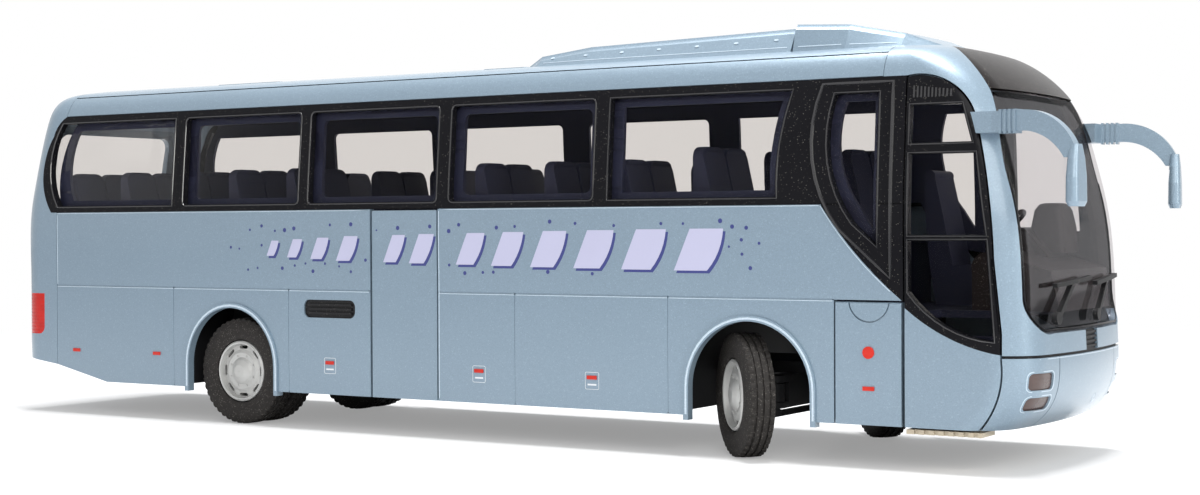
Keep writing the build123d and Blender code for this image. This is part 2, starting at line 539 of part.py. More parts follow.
tank = block(20, 46, -16, -4, CHASSIS_Z - 1.4, CHASSIS_Z)
locker = block(20, 46, 4, 16, CHASSIS_Z - 1.4, CHASSIS_Z)
save("chassis_plate", tray - axle_bore + tank + locker)

# Rear axle: a rod in two bearings with a twin wheel on each end
TWIN_MIDDLE_Y = (TWIN_OUTER_Y + TWIN_INNER_Y) / 2
HUB_DEPTH = 3.7
rod_length = 2 * (TWIN_MIDDLE_Y + HUB_DEPTH)
save("rear_axle_rod", Pos(REAR_AXLE_X, 0, HUB_Z) * Rot(90, 0, 0) * Cylinder(AXLE_RADIUS, rod_length))


def turned(face):
    """A wheel piece turned about the axle: the face has radius along x and outward along y."""
    return Rot(90, 0, 0) * revolve(Plane.XZ * face, Axis.Z)


def tyre(width):
    """A road tyre with round shoulders and a sidewall that tucks in to the rim."""
    half = width / 2
    return turned(profile((RIM_RADIUS, -half + 0.5), (9.0, -half), ((11.2, -half), (TYRE_RADIUS - 0.35, -half + 0.9)),
                          (TYRE_RADIUS, -half + 1.4), (TYRE_RADIUS, half - 1.4), (TYRE_RADIUS - 0.35, half - 0.9),
                          ((11.2, half), (9.0, half)), (RIM_RADIUS, half - 0.5)))


RIM_SLOTS = 8
SLOT_RADIUS = 5.75
HUB_RADIUS = 2.7
FRONT_BORE = AXLE_RADIUS + RUNNING_FIT


def rim_slots(depth):
    """The ring of long slots between a wheel's disc and its rim."""
    ring = []
    slot = Plane.XY * SlotOverall(2.6, 0.8)
    for step in range(RIM_SLOTS):
        turn = Rot(90, 0, 0) * Rot(0, 0, step * 360 / RIM_SLOTS)
        ring.append(turn * Pos(SLOT_RADIUS, 0, -depth / 2) * Rot(0, 0, 90) * extrude(slot, depth))
    return Part() + ring


# A wheel's outer face, from the rim's lip over the disc to the hub cap, outwards from the tyre's middle
DISC = [(RIM_RADIUS, 2.5), (6.95, 2.8), (6.65, 2.7), (6.3, 1.5), (5.2, 1.7), (4.4, 2.2), (3.3, 2.1), (HUB_RADIUS, 2.6),
        (1.5, 3.2), (0, 3.3)]
DISC_BACK = 0.5
front_rim_face = profile((6.8, -2.5), (RIM_RADIUS, -2.5), *DISC, (0, 2.0), (FRONT_BORE, 2.0), (FRONT_BORE, -1.6),
                         (2.4, -1.6), (2.4, DISC_BACK), (6.2, DISC_BACK))
front_rim = turned(front_rim_face) - rim_slots(8)
front_tyre = tyre(TYRE_WIDTH)
TWIN_STEP = (TWIN_OUTER_Y - TWIN_INNER_Y) / 2
twin_disc = [(radius, out + TWIN_STEP) for radius, out in DISC]
twin_back = DISC_BACK + TWIN_STEP
twin_rim_face = profile((AXLE_RADIUS, -4.4), (3.0, -4.4), (3.0, twin_back), (6.2, twin_back), (6.8, -6.3),
                        (RIM_RADIUS, -6.3), *twin_disc, (0, HUB_DEPTH), (AXLE_RADIUS, HUB_DEPTH))
twin_rim = turned(twin_rim_face) - rim_slots(16)


def placed_rear(shape, out_y, side):
    """A rear wheel piece at its place; outward is away from the middle on either side."""
    facing = shape if side < 0 else Rot(0, 0, 180) * shape
    return Pos(REAR_AXLE_X, side * out_y, HUB_Z) * facing


def placed_front(shape, side):
    """A front wheel piece on its steered kingpin."""
    facing = shape if side < 0 else Rot(0, 0, 180) * shape
    return Pos(FRONT_AXLE_X, side * KINGPIN_Y, HUB_Z) * Rot(0, 0, STEER_REST) * Pos(0, side * KINGPIN_OFFSET, 0) * facing


rear_rims = []
rear_tyres = []
for name, side in (("right", -1), ("left", 1)):
    rear_rims.append(placed_rear(twin_rim, TWIN_MIDDLE_Y, side).solid())
    for out_y in (TWIN_INNER_Y, TWIN_OUTER_Y):
        rear_tyres.append(placed_rear(front_tyre, out_y, side).solid())
    save(f"front_rim_{name}", placed_front(front_rim, side))
    save(f"front_tyre_{name}", placed_front(front_tyre, side))
save("rear_rims", Compound(rear_rims))
save("rear_tyres", Compound(rear_tyres))

# Front axle: a beam with forked ends, kingpins turning in them and a track rod behind
EYE_RADIUS = 1.9
PIN_HOLE = KINGPIN_RADIUS + RUNNING_FIT
beam = block(FRONT_AXLE_X - 1.6, FRONT_AXLE_X + 1.6, -16.2, 16.2, 9.9, CARRIER_Z)
for side in (-1, 1):
    eye = profile((14.0, -1.6), (KINGPIN_Y, -EYE_RADIUS), ((KINGPIN_Y + EYE_RADIUS, 0), (KINGPIN_Y, EYE_RADIUS)),
                  (14.0, 1.6))
    eye_plan = Pos(FRONT_AXLE_X, 0) * Rot(0, 0, side * 90) * eye
    for z0, z1 in ((9.9, 11.1), (15.2, CARRIER_Z)):
        beam = beam + extrude(Plane.XY.offset(z0) * eye_plan, z1 - z0)
    beam = beam - Pos(FRONT_AXLE_X, side * KINGPIN_Y, 13) * Cylinder(PIN_HOLE, 12)
save("front_axle_beam", beam)

ARM_Z = (8.4, 9.6)
TIE_Z = (7.0, 8.2)
for name, side in (("right", -1), ("left", 1)):
    knuckle = Pos(0, 0, 13.15) * Cylinder(EYE_RADIUS, 3.7)
    knuckle = knuckle + Pos(0, 0, 12.5) * Cylinder(KINGPIN_RADIUS, 8.2)
    stub = Pos(0, side * 4.8, HUB_Z) * Rot(90, 0, 0) * Cylinder(AXLE_RADIUS, 7.0)
    arm_plan = profile((0, -1.2), ((1.2, 0), (0, 1.2)), (-ARM_LENGTH, 1.0), ((-ARM_LENGTH - 1.0, 0), (-ARM_LENGTH, -1.0)))
    steering_arm = extrude(Plane.XY.offset(ARM_Z[0]) * arm_plan, ARM_Z[1] - ARM_Z[0])
    ball = Pos(-ARM_LENGTH, 0, 7.7) * Cylinder(0.6, 1.4)
    knuckle = knuckle + stub + steering_arm + ball
    save(f"steering_knuckle_{name}", Pos(FRONT_AXLE_X, side * KINGPIN_Y, 0) * Rot(0, 0, STEER_REST) * knuckle)
arm_back = ARM_LENGTH * cos(radians(STEER_REST))
arm_in = -ARM_LENGTH * sin(radians(STEER_REST))
tie_x = FRONT_AXLE_X - arm_back
tie_right_y = -KINGPIN_Y + arm_in
tie_left_y = KINGPIN_Y + arm_in
tie_plan = Pos(tie_x, (tie_right_y + tie_left_y) / 2) * Rectangle(1.2, tie_left_y - tie_right_y)
tie_plan = tie_plan + Pos(tie_x, tie_right_y) * Circle(1.3) + Pos(tie_x, tie_left_y) * Circle(1.6)
tie_plan = tie_plan - Pos(tie_x, tie_right_y) * Circle(0.6 + RUNNING_FIT) - Pos(tie_x, tie_left_y) * Circle(0.9)
save("track_rod", extrude(Plane.XY.offset(TIE_Z[0]) * tie_plan, TIE_Z[1] - TIE_Z[0]))

# Cabin floor with the two stairwells cut into it, and their steps
floor = block(-142, 121, -TRAY_Y, TRAY_Y, WELL_TOP_Z, FLOOR_Z) & room
ENTRY_WELL = (DOOR_REAR_X + 0.6, 121.0, -40.0, -12.0)
MID_WELL = (MID_DOOR[0] + 0.6, MID_DOOR[1] - 0.6, -40.0, -14.0)
steps = []
for x0, x1, y0, y1 in (ENTRY_WELL, MID_WELL):
    floor = floor - block(x0, x1, y0, y1, WELL_TOP_Z - 1, FLOOR_Z + 1)
    for count in range(3):
        tread_z = CHASSIS_Z + CHASSIS + (count + 1) * 4.9
        reach = y1 - 9.6 + count * 3.2
        steps.append(block(x0, x1, reach, y1, tread_z - 4.9, tread_z) & room)
save("cabin_floor", floor)
save("entry_steps", Part() + steps)

# Seats: pairs with a split back, on a plinth along each side of the aisle
AISLE_Y = 6.2
ROW_LIFT = 3.0
FRONT_ROW_LIFT = 5.2
FRONT_ROWS_X = 55.0
BACK_ROUND = 2.4
seat_profile = profile((9.6, 0.0), (9.9, 7.2), ((9.6, 8.6), (8.2, 8.9)), (2.6, 8.2), ((0.4, 19.0), (-1.4, 27.0)),
                       ((-2.4, 28.6), (-3.7, 27.2)), ((-3.2, 14.0), (-1.2, 0.0)))


def seat_pair(x, near_y, side, lift):
    """Two seats side by side, each back with a round top."""
    near, far = sorted((side * near_y, side * (near_y + SEAT_PAIR)))
    pair = Pos(x, 0, FLOOR_Z + lift) * extrude(Plane.XZ.offset(-far) * seat_profile, far - near)
    middle = (near + far) / 2
    foot = FLOOR_Z + lift
    backs = Sketch()
    for y0, y1 in ((near, middle - SEAT_GAP / 2), (middle + SEAT_GAP / 2, far)):
        backs += rounded(y0, y1, foot - 10, foot + SEAT_TOP, BACK_ROUND)
    outline = extrude(Plane.YZ.offset(x - 5) * backs, 8) + block(x - 5, x + 12, near, far, foot - 1, foot + 10)
    return pair & outline


first_row_x = -124.0
seats = []
for side in (-1, 1):
    pairs = []
    plinths = []
    for row in range(12):
        x = first_row_x + row * SEAT_PITCH
        if side < 0 and MID_WELL[0] - 12 < x < MID_WELL[1] + 5:
            continue
        if side < 0 and x > 78:
            continue
        lift = FRONT_ROW_LIFT if x > FRONT_ROWS_X else ROW_LIFT
        pairs.append(seat_pair(x, AISLE_Y, side, lift))
    near, far = sorted((side * AISLE_Y, side * (AISLE_Y + SEAT_PAIR)))
    runs = [(-127, MID_WELL[0] - 1), (MID_WELL[1] + 1, FRONT_ROWS_X)] if side < 0 else [(-127, FRONT_ROWS_X)]
    for x0, x1 in runs:
        plinths.append(block(x0, x1, near + 1, far - 1, FLOOR_Z, FLOOR_Z + ROW_LIFT))
    plinths.append(block(FRONT_ROWS_X, 84 if side < 0 else 90, near + 1, far - 1, FLOOR_Z, FLOOR_Z + FRONT_ROW_LIFT))
    seats.extend(((Part() + plinths + pairs) & room).solids())
save("passenger_seats", Compound(seats))

# Window frames inside the cabin, standing against the glass
LINER = 1.0
liner_layer = envelope(WALL + GLASS) - envelope(WALL + GLASS + LINER)
liner_windows = [
    profile((-89.6, 54.6), (-89.6, 72.6), (-123.6, 72.6), ((-126.6, 63.5), (-124.6, 54.6))),
    *[rounded(x0 + 1.9, x1 - 1.9, 54.6, 72.6, 1.4) for x0, x1 in ((-83.4, -46.5), (-43.0, -5.7), (-1.8, 35.8))],
    profile((41.9, 54.6), (41.9, 72.6), (79.4, 72.6), ((77.2, 63.5), (77.0, 54.6))),
    profile((99.6, 46.6), (99.6, 71.8), (93.4, 71.8), ((92.4, 60.5), (97.0, 50.6))),
]
liner_face = profile((-129.0, 52.4), (87.0, 52.4), ((94.6, 43.4), (101.6, 41.4)), (101.6, 76.0), (-123.0, 76.0),
                     ((-129.2, 66), (-129.0, 52.4)))
liner = liner_layer & door_side(liner_face - liner_windows)
save("cabin_liner", liner + other_side(liner))

driver = Pos(98.0, 0, FLOOR_Z) * extrude(Plane.XZ.offset(-21.5) * seat_profile, 10.5)
save("driver_seat", driver + block(96, 106, 12.5, 20, FLOOR_Z, FLOOR_Z + 1.5))
dash_face = profile((113.5, FLOOR_Z), (113.5, 38.0), ((114.2, 41.0), (117.0, 42.0)), (129.5, 38.5),
                    (131.5, FLOOR_Z))
dash = extrude(Plane.XZ.offset(-24) * dash_face, 35) & room
binnacle_face = profile((112.6, 40.0), (113.8, 45.2), ((115.4, 46.8), (117.4, 46.4)), (122.5, 40.2), (118, 38.0))
binnacle = extrude(Plane.XZ.offset(-22.5) * binnacle_face, 13.5)
save("dashboard", dash + (binnacle & room))
wheel_tilt = 38.0
wheel_place = Pos(110.6, 15.8, 47.4) * Rot(0, -wheel_tilt, 0)
steering = Torus(4.6, 0.45) + Cylinder(1.1, 0.9) + Box(9.2, 0.8, 0.5) + Pos(0, 0, -2.6) * Cylinder(0.5, 5.0)
save("steering_wheel", (wheel_place * steering) - dash - binnacle)


# Ribbed tread plate under the entry door
SILL_PLATE = (107.2, 122.4, -29.0, -22.0)
tread = block(*SILL_PLATE, 7.3, 8.2) + block(108.4, 121.2, -26.6, -22.0, 8.2, CHASSIS_Z)
grooves = Part()
for count in range(7):
    groove_x = SILL_PLATE[0] + 1.6 + count * 2.0
    grooves += block(groove_x, groove_x + 0.9, -29.2, -28.5, 7.2, 8.3)
save("entry_tread", tread - grooves)
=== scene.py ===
# %% [markdown]
# A light blue touring coach, as a die-cast model you could hold in two hands. It stands on a pale table
# with its front wheels turned towards us. The solids with real sizes come from the imported frame; this
# file gives them their paint, glass and rubber, adds the small things that sit on them, and lights them.

# %% Load the frame
import math
import random

import bmesh
import bpy
from mathutils import Matrix, Vector
from mathutils.bvhtree import BVHTree


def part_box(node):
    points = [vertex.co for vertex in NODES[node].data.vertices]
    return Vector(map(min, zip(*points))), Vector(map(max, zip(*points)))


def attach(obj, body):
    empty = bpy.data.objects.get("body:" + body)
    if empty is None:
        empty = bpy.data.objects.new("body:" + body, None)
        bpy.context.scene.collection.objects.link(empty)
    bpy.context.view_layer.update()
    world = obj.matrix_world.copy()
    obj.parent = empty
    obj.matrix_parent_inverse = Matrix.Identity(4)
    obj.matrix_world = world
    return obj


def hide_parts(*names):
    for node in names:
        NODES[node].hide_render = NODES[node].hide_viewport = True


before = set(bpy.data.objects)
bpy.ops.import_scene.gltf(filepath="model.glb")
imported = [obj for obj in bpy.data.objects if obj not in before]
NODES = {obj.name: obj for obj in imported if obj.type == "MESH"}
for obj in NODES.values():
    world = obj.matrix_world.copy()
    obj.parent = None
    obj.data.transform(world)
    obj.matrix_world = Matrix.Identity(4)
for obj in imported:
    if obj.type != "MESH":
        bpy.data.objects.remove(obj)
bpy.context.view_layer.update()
MM = 0.001
SCENE = bpy.context.scene
print("nodes in the frame:", len(NODES))

# %% [markdown]
# Every finish below is a small graph of shader nodes. Clicking such graphs together in code soon becomes
# a wall of links, so we write them as arithmetic instead. A Sig is one value or colour on its way
# through the graph, and a + or * on it, all that our mixes of noises need, adds the Math node for us.
# Anything that isn't arithmetic comes from Finish.node, which takes the node's type, its settings and
# what goes into its sockets.

# %% Shader arithmetic
class Sig:
    """One output socket, with Python's operators adding Math nodes behind it."""

    def __init__(self, finish, socket):
        self.finish = finish
        self.socket = socket

    def maths(self, operation, *others):
        values = dict(enumerate((self, *others)))
        return self.finish.node("ShaderNodeMath", {"operation": operation}, values)

    def __add__(self, other):
        return self.maths("ADD", other)

    __radd__ = __add__

    def __mul__(self, other):
        return self.maths("MULTIPLY", other)

    __rmul__ = __mul__

    def above(self, edge, width=0.02):
        """0 below an edge and 1 above it, with a soft step between."""
        return self.finish.node("ShaderNodeMapRange", {"clamp": True}, {
            "Value": self, "From Min": edge - width, "From Max": edge + width})

    def blend(self, low, high):
        """A colour between two colours, by this value."""
        return self.finish.node("ShaderNodeMix", {"data_type": "RGBA"}, {
            "Factor": self, "A": low, "B": high}, out="Result")


class Finish:
    """A material with one Principled shader, and one way to add any node to it."""

    def __init__(self, name):
        self.material = bpy.data.materials.new(name)
        self.material.use_nodes = True
        self.tree = self.material.node_tree
        self.shader = self.tree.nodes["Principled BSDF"]
        self.surface = self.tree.nodes["Material Output"].inputs["Surface"]

    def node(self, kind, settings=None, inputs=None, out=0):
        made = self.tree.nodes.new(kind)
        for key, value in (settings or {}).items():
            setattr(made, key, value)
        for key, value in (inputs or {}).items():
            self.feed(self.socket(made, key), value)
        return Sig(self, self.socket(made, out, made.outputs))

    @staticmethod
    def socket(made, key, among=None):
        """A socket by number, or by name among those that the settings leave switched on."""
        among = made.inputs if among is None else among
        if isinstance(key, int):
            return among[key]
        return [s for s in among if s.name == key and s.enabled][0]

    def feed(self, socket, value):
        if isinstance(value, Sig):
            self.tree.links.new(value.socket, socket)
        elif socket.type == "RGBA" and len(value) == 3:
            socket.default_value = (*value, 1.0)
        else:
            socket.default_value = value

    def place(self):
        """Where the point is on the object, in metres."""
        return self.node("ShaderNodeTexCoord", out="Object")

    def noise(self, size_mm, detail=2.0, rough=0.5):
        """Soft noise whose lumps are about this many millimetres across."""
        return self.node("ShaderNodeTexNoise", None, {
            "Vector": self.place(), "Scale": 1000.0 / size_mm, "Detail": detail, "Roughness": rough})

    def cells(self, size_mm):
        """A random brightness for each small cell, as metal flakes have."""
        colour = self.node("ShaderNodeTexVoronoi", None, {
            "Vector": self.place(), "Scale": 1000.0 / size_mm}, out="Color")
        return self.node("ShaderNodeSeparateColor", None, {"Color": colour}, out="Red")

    def bump(self, height, strength, depth_mm=0.05):
        normal = self.node("ShaderNodeBump", None, {
            "Height": height, "Strength": strength, "Distance": depth_mm * MM}, out="Normal")
        self.feed(self.shader.inputs["Normal"], normal)

    def set(self, **values):
        """Plain or linked values on the Principled shader; an underscore stands for a space."""
        for key, value in values.items():
            self.feed(self.shader.inputs[key.replace("_", " ")], value)


def toned(colour, factor, lift=0.0):
    """A colour made darker or lighter, kept within what a surface can reflect."""
    return tuple(min(1.0, channel * factor + lift) for channel in colour)


print("a darker and a lighter grey:", toned((0.5, 0.5, 0.5), 0.8), toned((0.5, 0.5, 0.5), 1.2))


# %% [markdown]
# The coach's paint is a light blue metallic. At this scale the aluminium flakes are far too coarse, so the
# whole body looks finely speckled, and sprayed paint also leaves a soft waviness. Two cell textures give
# each flake its own brightness, a slow noise lets the tint drift, and a bump carries the flakes and the
# waviness into the highlights. A clear coat lies over it all.

# %% Metallic paint
BODY_BLUE = (0.172, 0.238, 0.300)
FLAKE_MM = 0.16
COARSE_FLAKE_MM = 0.2
WAVE_MM = 0.9
DRIFT_MM = 30.0


def metallic_paint(name, colour, speckle=0.13):
    """Sprayed metallic paint; speckle is how much brighter or darker than the rest a flake can be."""
    paint = Finish(name)
    flake = paint.cells(FLAKE_MM)
    coarse = paint.cells(COARSE_FLAKE_MM)
    drift = paint.noise(DRIFT_MM, 3.0)
    sparkle = coarse.above(0.96, 0.02)
    shade = flake * 0.5 + coarse * 0.2 + drift * 0.3
    tint = shade.blend(toned(colour, 1 - speckle), toned(colour, 1 + speckle, 0.01))
    paint.set(Base_Color=(sparkle * 0.22).blend(tint, toned(colour, 1.5, 0.08)), Metallic=0.35,
              Coat_Weight=0.5, Coat_Roughness=0.12, Roughness=0.36 + flake * 0.12)
    paint.bump(flake * 0.5 + paint.noise(WAVE_MM, 2.0) * 0.8, 0.2, 0.03)
    return paint.material


coach_paint = metallic_paint("coach_paint", BODY_BLUE)
print("body colour:", BODY_BLUE)


# %% [markdown]
# The window band, the cap over the windscreen and the entry door's frame are black. The cap is speckled
# and a little rough, as if the paint went on dry, while the band is smooth. In a white studio such a
# black soon turns grey, because it mirrors the walls, so both have very little shine. One function serves
# all the plastics: a colour that drifts, over a fine grain, with specks of pale dust where we ask for them.

# %% Black paint and plain plastics
DUST = (0.30, 0.28, 0.25)
SPECK_MM = 0.16


def plastic(name, colour, rough, grain_mm=0.4, grain=0.1, vary=0.12, coat=0.0, metallic=0.0, shine=0.5,
            dust=0.0):
    """Moulded or sprayed plastic: an even colour that drifts a little, over a fine grain."""
    finish = Finish(name)
    fine = finish.noise(grain_mm, 3.0, 0.6)
    slow = finish.noise(12.0, 2.0)
    tint = (slow * 0.6 + fine * 0.4).blend(toned(colour, 1 - vary), toned(colour, 1 + vary, 0.002))
    if dust:
        tint = (finish.cells(SPECK_MM).above(0.985, 0.01) * dust).blend(tint, DUST)
    finish.set(Base_Color=tint, Roughness=(rough - 0.06) + fine * 0.12,
               Coat_Weight=coat, Coat_Roughness=0.06, Metallic=metallic, Specular_IOR_Level=shine)
    finish.bump(fine, grain, 0.04)
    return finish.material


band_black = plastic("band_black", (0.0045, 0.0045, 0.006), 0.2, 0.5, 0.06,
                     coat=0.05, shine=0.06, dust=0.25)
cap_black = plastic("cap_black", (0.009, 0.007, 0.007), 0.3, 0.45, 0.5, 0.6,
                    coat=0.06, shine=0.08, dust=0.5)
edge_black = plastic("edge_black", (0.010, 0.010, 0.012), 0.14, 0.5, 0.05, coat=0.5)
trim_black = plastic("trim_black", (0.007, 0.007, 0.008), 0.5, 0.5, 0.25, shine=0.2, dust=0.3)
base_black = plastic("base_black", (0.008, 0.008, 0.009), 0.62, 0.6, 0.35, shine=0.12)
seat_plastic = plastic("seat_plastic", (0.016, 0.018, 0.038), 0.55, 0.6, 0.25, shine=0.2, dust=0.2)
# This dark plastic also serves as painted shade inside the front posts.
dash_plastic = plastic("dash_plastic", (0.012, 0.008, 0.008), 0.5, 0.5, 0.4, shine=0.15, dust=0.6)
tread_beige = plastic("tread_beige", (0.42, 0.36, 0.27), 0.6, 0.5, 0.3)
rim_silver = plastic("rim_silver", (0.42, 0.42, 0.41), 0.5, 0.5, 0.2, 0.1, metallic=0.35)
rod_steel = plastic("rod_steel", (0.45, 0.45, 0.46), 0.35, 0.4, 0.1, metallic=1.0)
mirror_film = plastic("mirror_film", (0.82, 0.84, 0.86), 0.1, 3.0, 0.02, 0.02, metallic=1.0)
print("materials so far:", len(bpy.data.materials))


# %% [markdown]
# The lamps are solid tinted plastic. Real ones show a reflector through the lens, which at this size is
# only a change of brightness, so a fine prism pattern in the bump is enough to make them look deep.

# %% Lamp plastics
PRISM_MM = 0.9


def lamp_lens(name, colour, rough=0.14, shine=0.2):
    lens = Finish(name)
    height = lens.node("ShaderNodeSeparateXYZ", None, {"Vector": lens.place()}, out="Z")
    prisms = (height * (2 * math.pi / (PRISM_MM * MM))).maths("SINE")
    depth = lens.noise(2.4, 2.0)
    lens.set(Base_Color=depth.blend(toned(colour, 0.6), colour), Roughness=rough + depth * 0.08,
             Coat_Weight=0.15, Coat_Roughness=0.04, Specular_IOR_Level=shine)
    lens.bump(prisms * 0.5 + 0.5, 0.25, 0.05)
    return lens.material


lamp_red = lamp_lens("lamp_red", (0.56, 0.014, 0.008))
marker_red = lamp_lens("marker_red", (0.60, 0.022, 0.010), 0.3)
lamp_smoke = lamp_lens("lamp_smoke", (0.075, 0.045, 0.040), 0.2, 0.4)
print("lamp materials:", lamp_red.name, marker_red.name, lamp_smoke.name)


# %% [markdown]
# The glazing is one clear moulding behind the body. A solid refracting glass would be physically right,
# but two panes with a lit cabin between them stay noisy for a long time. What the eye reads as a window
# is a mirror that gets stronger at grazing angles over something it can see through, so we mix a clear
# shader and a glossy one by the Fresnel term, with a trace of grey for the thickness of the plastic.

# %% Clear glazing
def clear_glazing(name, tint, gloss):
    glass = Finish(name)
    clear = glass.node("ShaderNodeBsdfTransparent", None, {"Color": tint})
    shine = glass.node("ShaderNodeBsdfGlossy", None, {"Color": (0.9, 0.92, 0.95), "Roughness": 0.05})
    edge = glass.node("ShaderNodeFresnel", None, {"IOR": 1.42})
    mixed = glass.node("ShaderNodeMixShader", None, {0: edge * gloss, 1: clear, 2: shine})
    glass.tree.links.new(mixed.socket, glass.surface)
    glass.tree.nodes.remove(glass.shader)
    return glass.material


side_glazing = clear_glazing("side_glazing", (0.905, 0.893, 0.884), 0.05)
screen_glazing = clear_glazing("screen_glazing", (0.89, 0.875, 0.88), 0.14)
print("glazing:", side_glazing.name, screen_glazing.name)


# %% [markdown]
# The tyres are soft black rubber that has picked up a little brown dust. Their tread will be real
# geometry, so the material needs only a patchy noise for the dust, a finer one for the grit, and a few
# pale specks.

# %% Rubber
rubber = Finish("tyre_rubber")
dust = rubber.noise(1.6, 4.0, 0.65)
grit = rubber.noise(0.3, 2.0)
worn = (dust * 0.7 + grit * 0.3).blend((0.007, 0.006, 0.006), (0.030, 0.027, 0.025))
specks = rubber.cells(SPECK_MM).above(0.95, 0.02) * dust
rubber.set(Base_Color=(specks * 0.5).blend(worn, DUST),
           Roughness=0.62 + grit * 0.2, Specular_IOR_Level=0.2)
rubber.bump(dust * 0.5 + grit * 0.5, 0.5, 0.06)
tyre_rubber = rubber.material
print("nodes in the rubber:", len(rubber.tree.nodes))


# %% [markdown]
# Now the finishes go onto the frame's own pieces. A table of node names is easier to check than fifty
# separate lines, and a name that starts a group, such as front_rim, serves both sides.

# %% Finish the frame's pieces
NODE_FINISHES = {
    coach_paint: ["side_panel", "roof_panel", "rear_cap", "front_mask", "front_bumper", "mid_door",
                  "service_flap", "entry_door_panel", "air_conditioner", "roof_hatches", "mirror_arm"],
    band_black: ["window_band", "entry_door_frame"],
    cap_black: ["windscreen_cap"],
    trim_black: ["front_grille", "side_vents", "wipers"],
    base_black: ["chassis_plate", "front_axle_beam", "steering_knuckle", "track_rod"],
    seat_plastic: ["passenger_seats", "driver_seat", "cabin_floor", "entry_steps", "cabin_liner"],
    dash_plastic: ["dashboard", "steering_wheel"],
    tread_beige: ["entry_tread"],
    rim_silver: ["front_rim", "rear_rims"],
    rod_steel: ["rear_axle_rod"],
    mirror_film: ["mirror_glass"],
    lamp_red: ["tail_lamps"],
    marker_red: ["side_markers", "flap_reflectors"],
    lamp_smoke: ["front_lamps"],
    side_glazing: ["side_glass", "entry_door_glass", "rear_window"],
    screen_glazing: ["windscreen"],
    tyre_rubber: ["front_tyre", "rear_tyres"],
}
finish_of = {}
for finish, starts in NODE_FINISHES.items():
    for start in starts:
        for name in NODES:
            if name in (start, start + "_right", start + "_left"):
                finish_of[name] = finish
for name, node in NODES.items():
    node.data.materials.clear()
    node.data.materials.append(finish_of[name])
print("finished nodes:", len(finish_of), "of", len(NODES))


# %% [markdown]
# Helpers for our own pieces. A piece starts as a bmesh, becomes an object with one finish, and rides on
# the body that carries it. All drawing is done in millimetres of the frame and scaled once at the end.

# %% Helpers for new pieces
def piece(name, mesh, finish, body, smooth=35.0):
    """An object from a bmesh in millimetres, shaded smooth up to an angle and riding on a body."""
    bmesh.ops.scale(mesh, vec=(MM, MM, MM), verts=mesh.verts)
    data = bpy.data.meshes.new(name)
    mesh.to_mesh(data)
    mesh.free()
    made = bpy.data.objects.new(name, data)
    SCENE.collection.objects.link(made)
    data.materials.append(finish)
    if smooth:
        for polygon in data.polygons:
            polygon.use_smooth = True
        data.set_sharp_from_angle(angle=math.radians(smooth))
    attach(made, body)
    return made


def walls(mesh, row, after):
    """Four-sided faces all the way round between two rows of points."""
    for i in range(len(row)):
        j = (i + 1) % len(row)
        mesh.faces.new((row[i], row[j], after[j], after[i]))


def capped(mesh, low, high):
    """A closed piece between two outlines: a face over each, and walls round them."""
    mesh.faces.new(low[::-1])
    mesh.faces.new(high)
    walls(mesh, low, high)


def ring(radius, count, centre=(0.0, 0.0)):
    """Points evenly round a circle."""
    return [(centre[0] + radius * math.cos(2 * math.pi * i / count),
             centre[1] + radius * math.sin(2 * math.pi * i / count)) for i in range(count)]


print("a ring of six:", [(round(a, 2), round(b, 2)) for a, b in ring(1.0, 6)])


# %% [markdown]
# Each tyre has a ribbed tread: straight grooves round it and short cuts across its shoulders. We sweep
# a section round the axle in many small steps, and lower the points that fall in a groove or a cut. One
# mesh does all this with no modifier, and the same function makes all six tyres. The section reaches
# exactly as far out as the plain tyre of the frame, so the coach still stands on the same ground.

# %% Tyres with tread
TYRE_R = 12.8
BEAD_R = 7.6
CROWN = 0.02
TREAD_STEPS = 132
TREAD_DEPTH = 0.42
# Half of the section, by place outwards from the middle: the wall's radius, then the tread's kinds.
WALL = ((2.5, BEAD_R), (2.85, 8.1), (3.0, 9.0), (3.0, 10.2), (2.96, 11.2), (2.75, 12.0))
HALF_TREAD = ((2.5, "edge"), (1.62, "edge"), (1.56, "groove"), (1.2, "groove"), (1.14, "rib"),
              (0.24, "rib"), (0.18, "groove"))
# For each kind of point, how many steps apart it is lowered, and by which part of the tread's depth.
CUTS = {"wall": (1, 0.0), "groove": (1, 1.0), "edge": (3, 0.8), "rib": (6, 0.5)}


def tyre_section():
    """Points from bead to bead: outward place, radius and kind."""
    half = [(out, radius, "wall") for out, radius in WALL]
    half += [(out, TYRE_R - CROWN * out * out, kind) for out, kind in HALF_TREAD]
    return [(-out, radius, kind) for out, radius, kind in half] + half[::-1]


def tyre_mesh(mesh, place):
    section = tyre_section()
    rows = []
    for step in range(TREAD_STEPS):
        turn = 2 * math.pi * step / TREAD_STEPS
        row = []
        for out, radius, kind in section:
            apart, part = CUTS[kind]
            if step % apart == 0:
                radius -= TREAD_DEPTH * part
            row.append(mesh.verts.new(place(radius * math.cos(turn), out, radius * math.sin(turn))))
        rows.append(row)
    for step, row in enumerate(rows):
        walls(mesh, row, rows[(step + 1) % TREAD_STEPS])


def node_centre(name):
    low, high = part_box(name)
    return (low + high) / (2 * MM)


def wheel_frame(centre, out_angle):
    """A function from along, out and up, in the wheel's own terms, to the frame."""
    out = Vector((math.cos(out_angle), math.sin(out_angle), 0.0))
    along = Vector((-out.y, out.x, 0.0))
    return lambda a, o, u: Vector(centre) + along * a + out * o + Vector((0, 0, u))


# The front wheels stand turned towards the door side.
STEER = math.radians(-45.0)
TWIN_Y = (17.6, 24.4)
FRONT_WHEELS = {
    "right": wheel_frame(node_centre("front_tyre_right"), math.radians(-90) + STEER),
    "left": wheel_frame(node_centre("front_tyre_left"), math.radians(90) + STEER),
}
rear_x = node_centre("rear_tyres").x
hub_z = node_centre("rear_tyres").z
rear_wheels = [wheel_frame((rear_x, side * y, hub_z), math.radians(90 * side))
               for side in (-1, 1) for y in TWIN_Y]

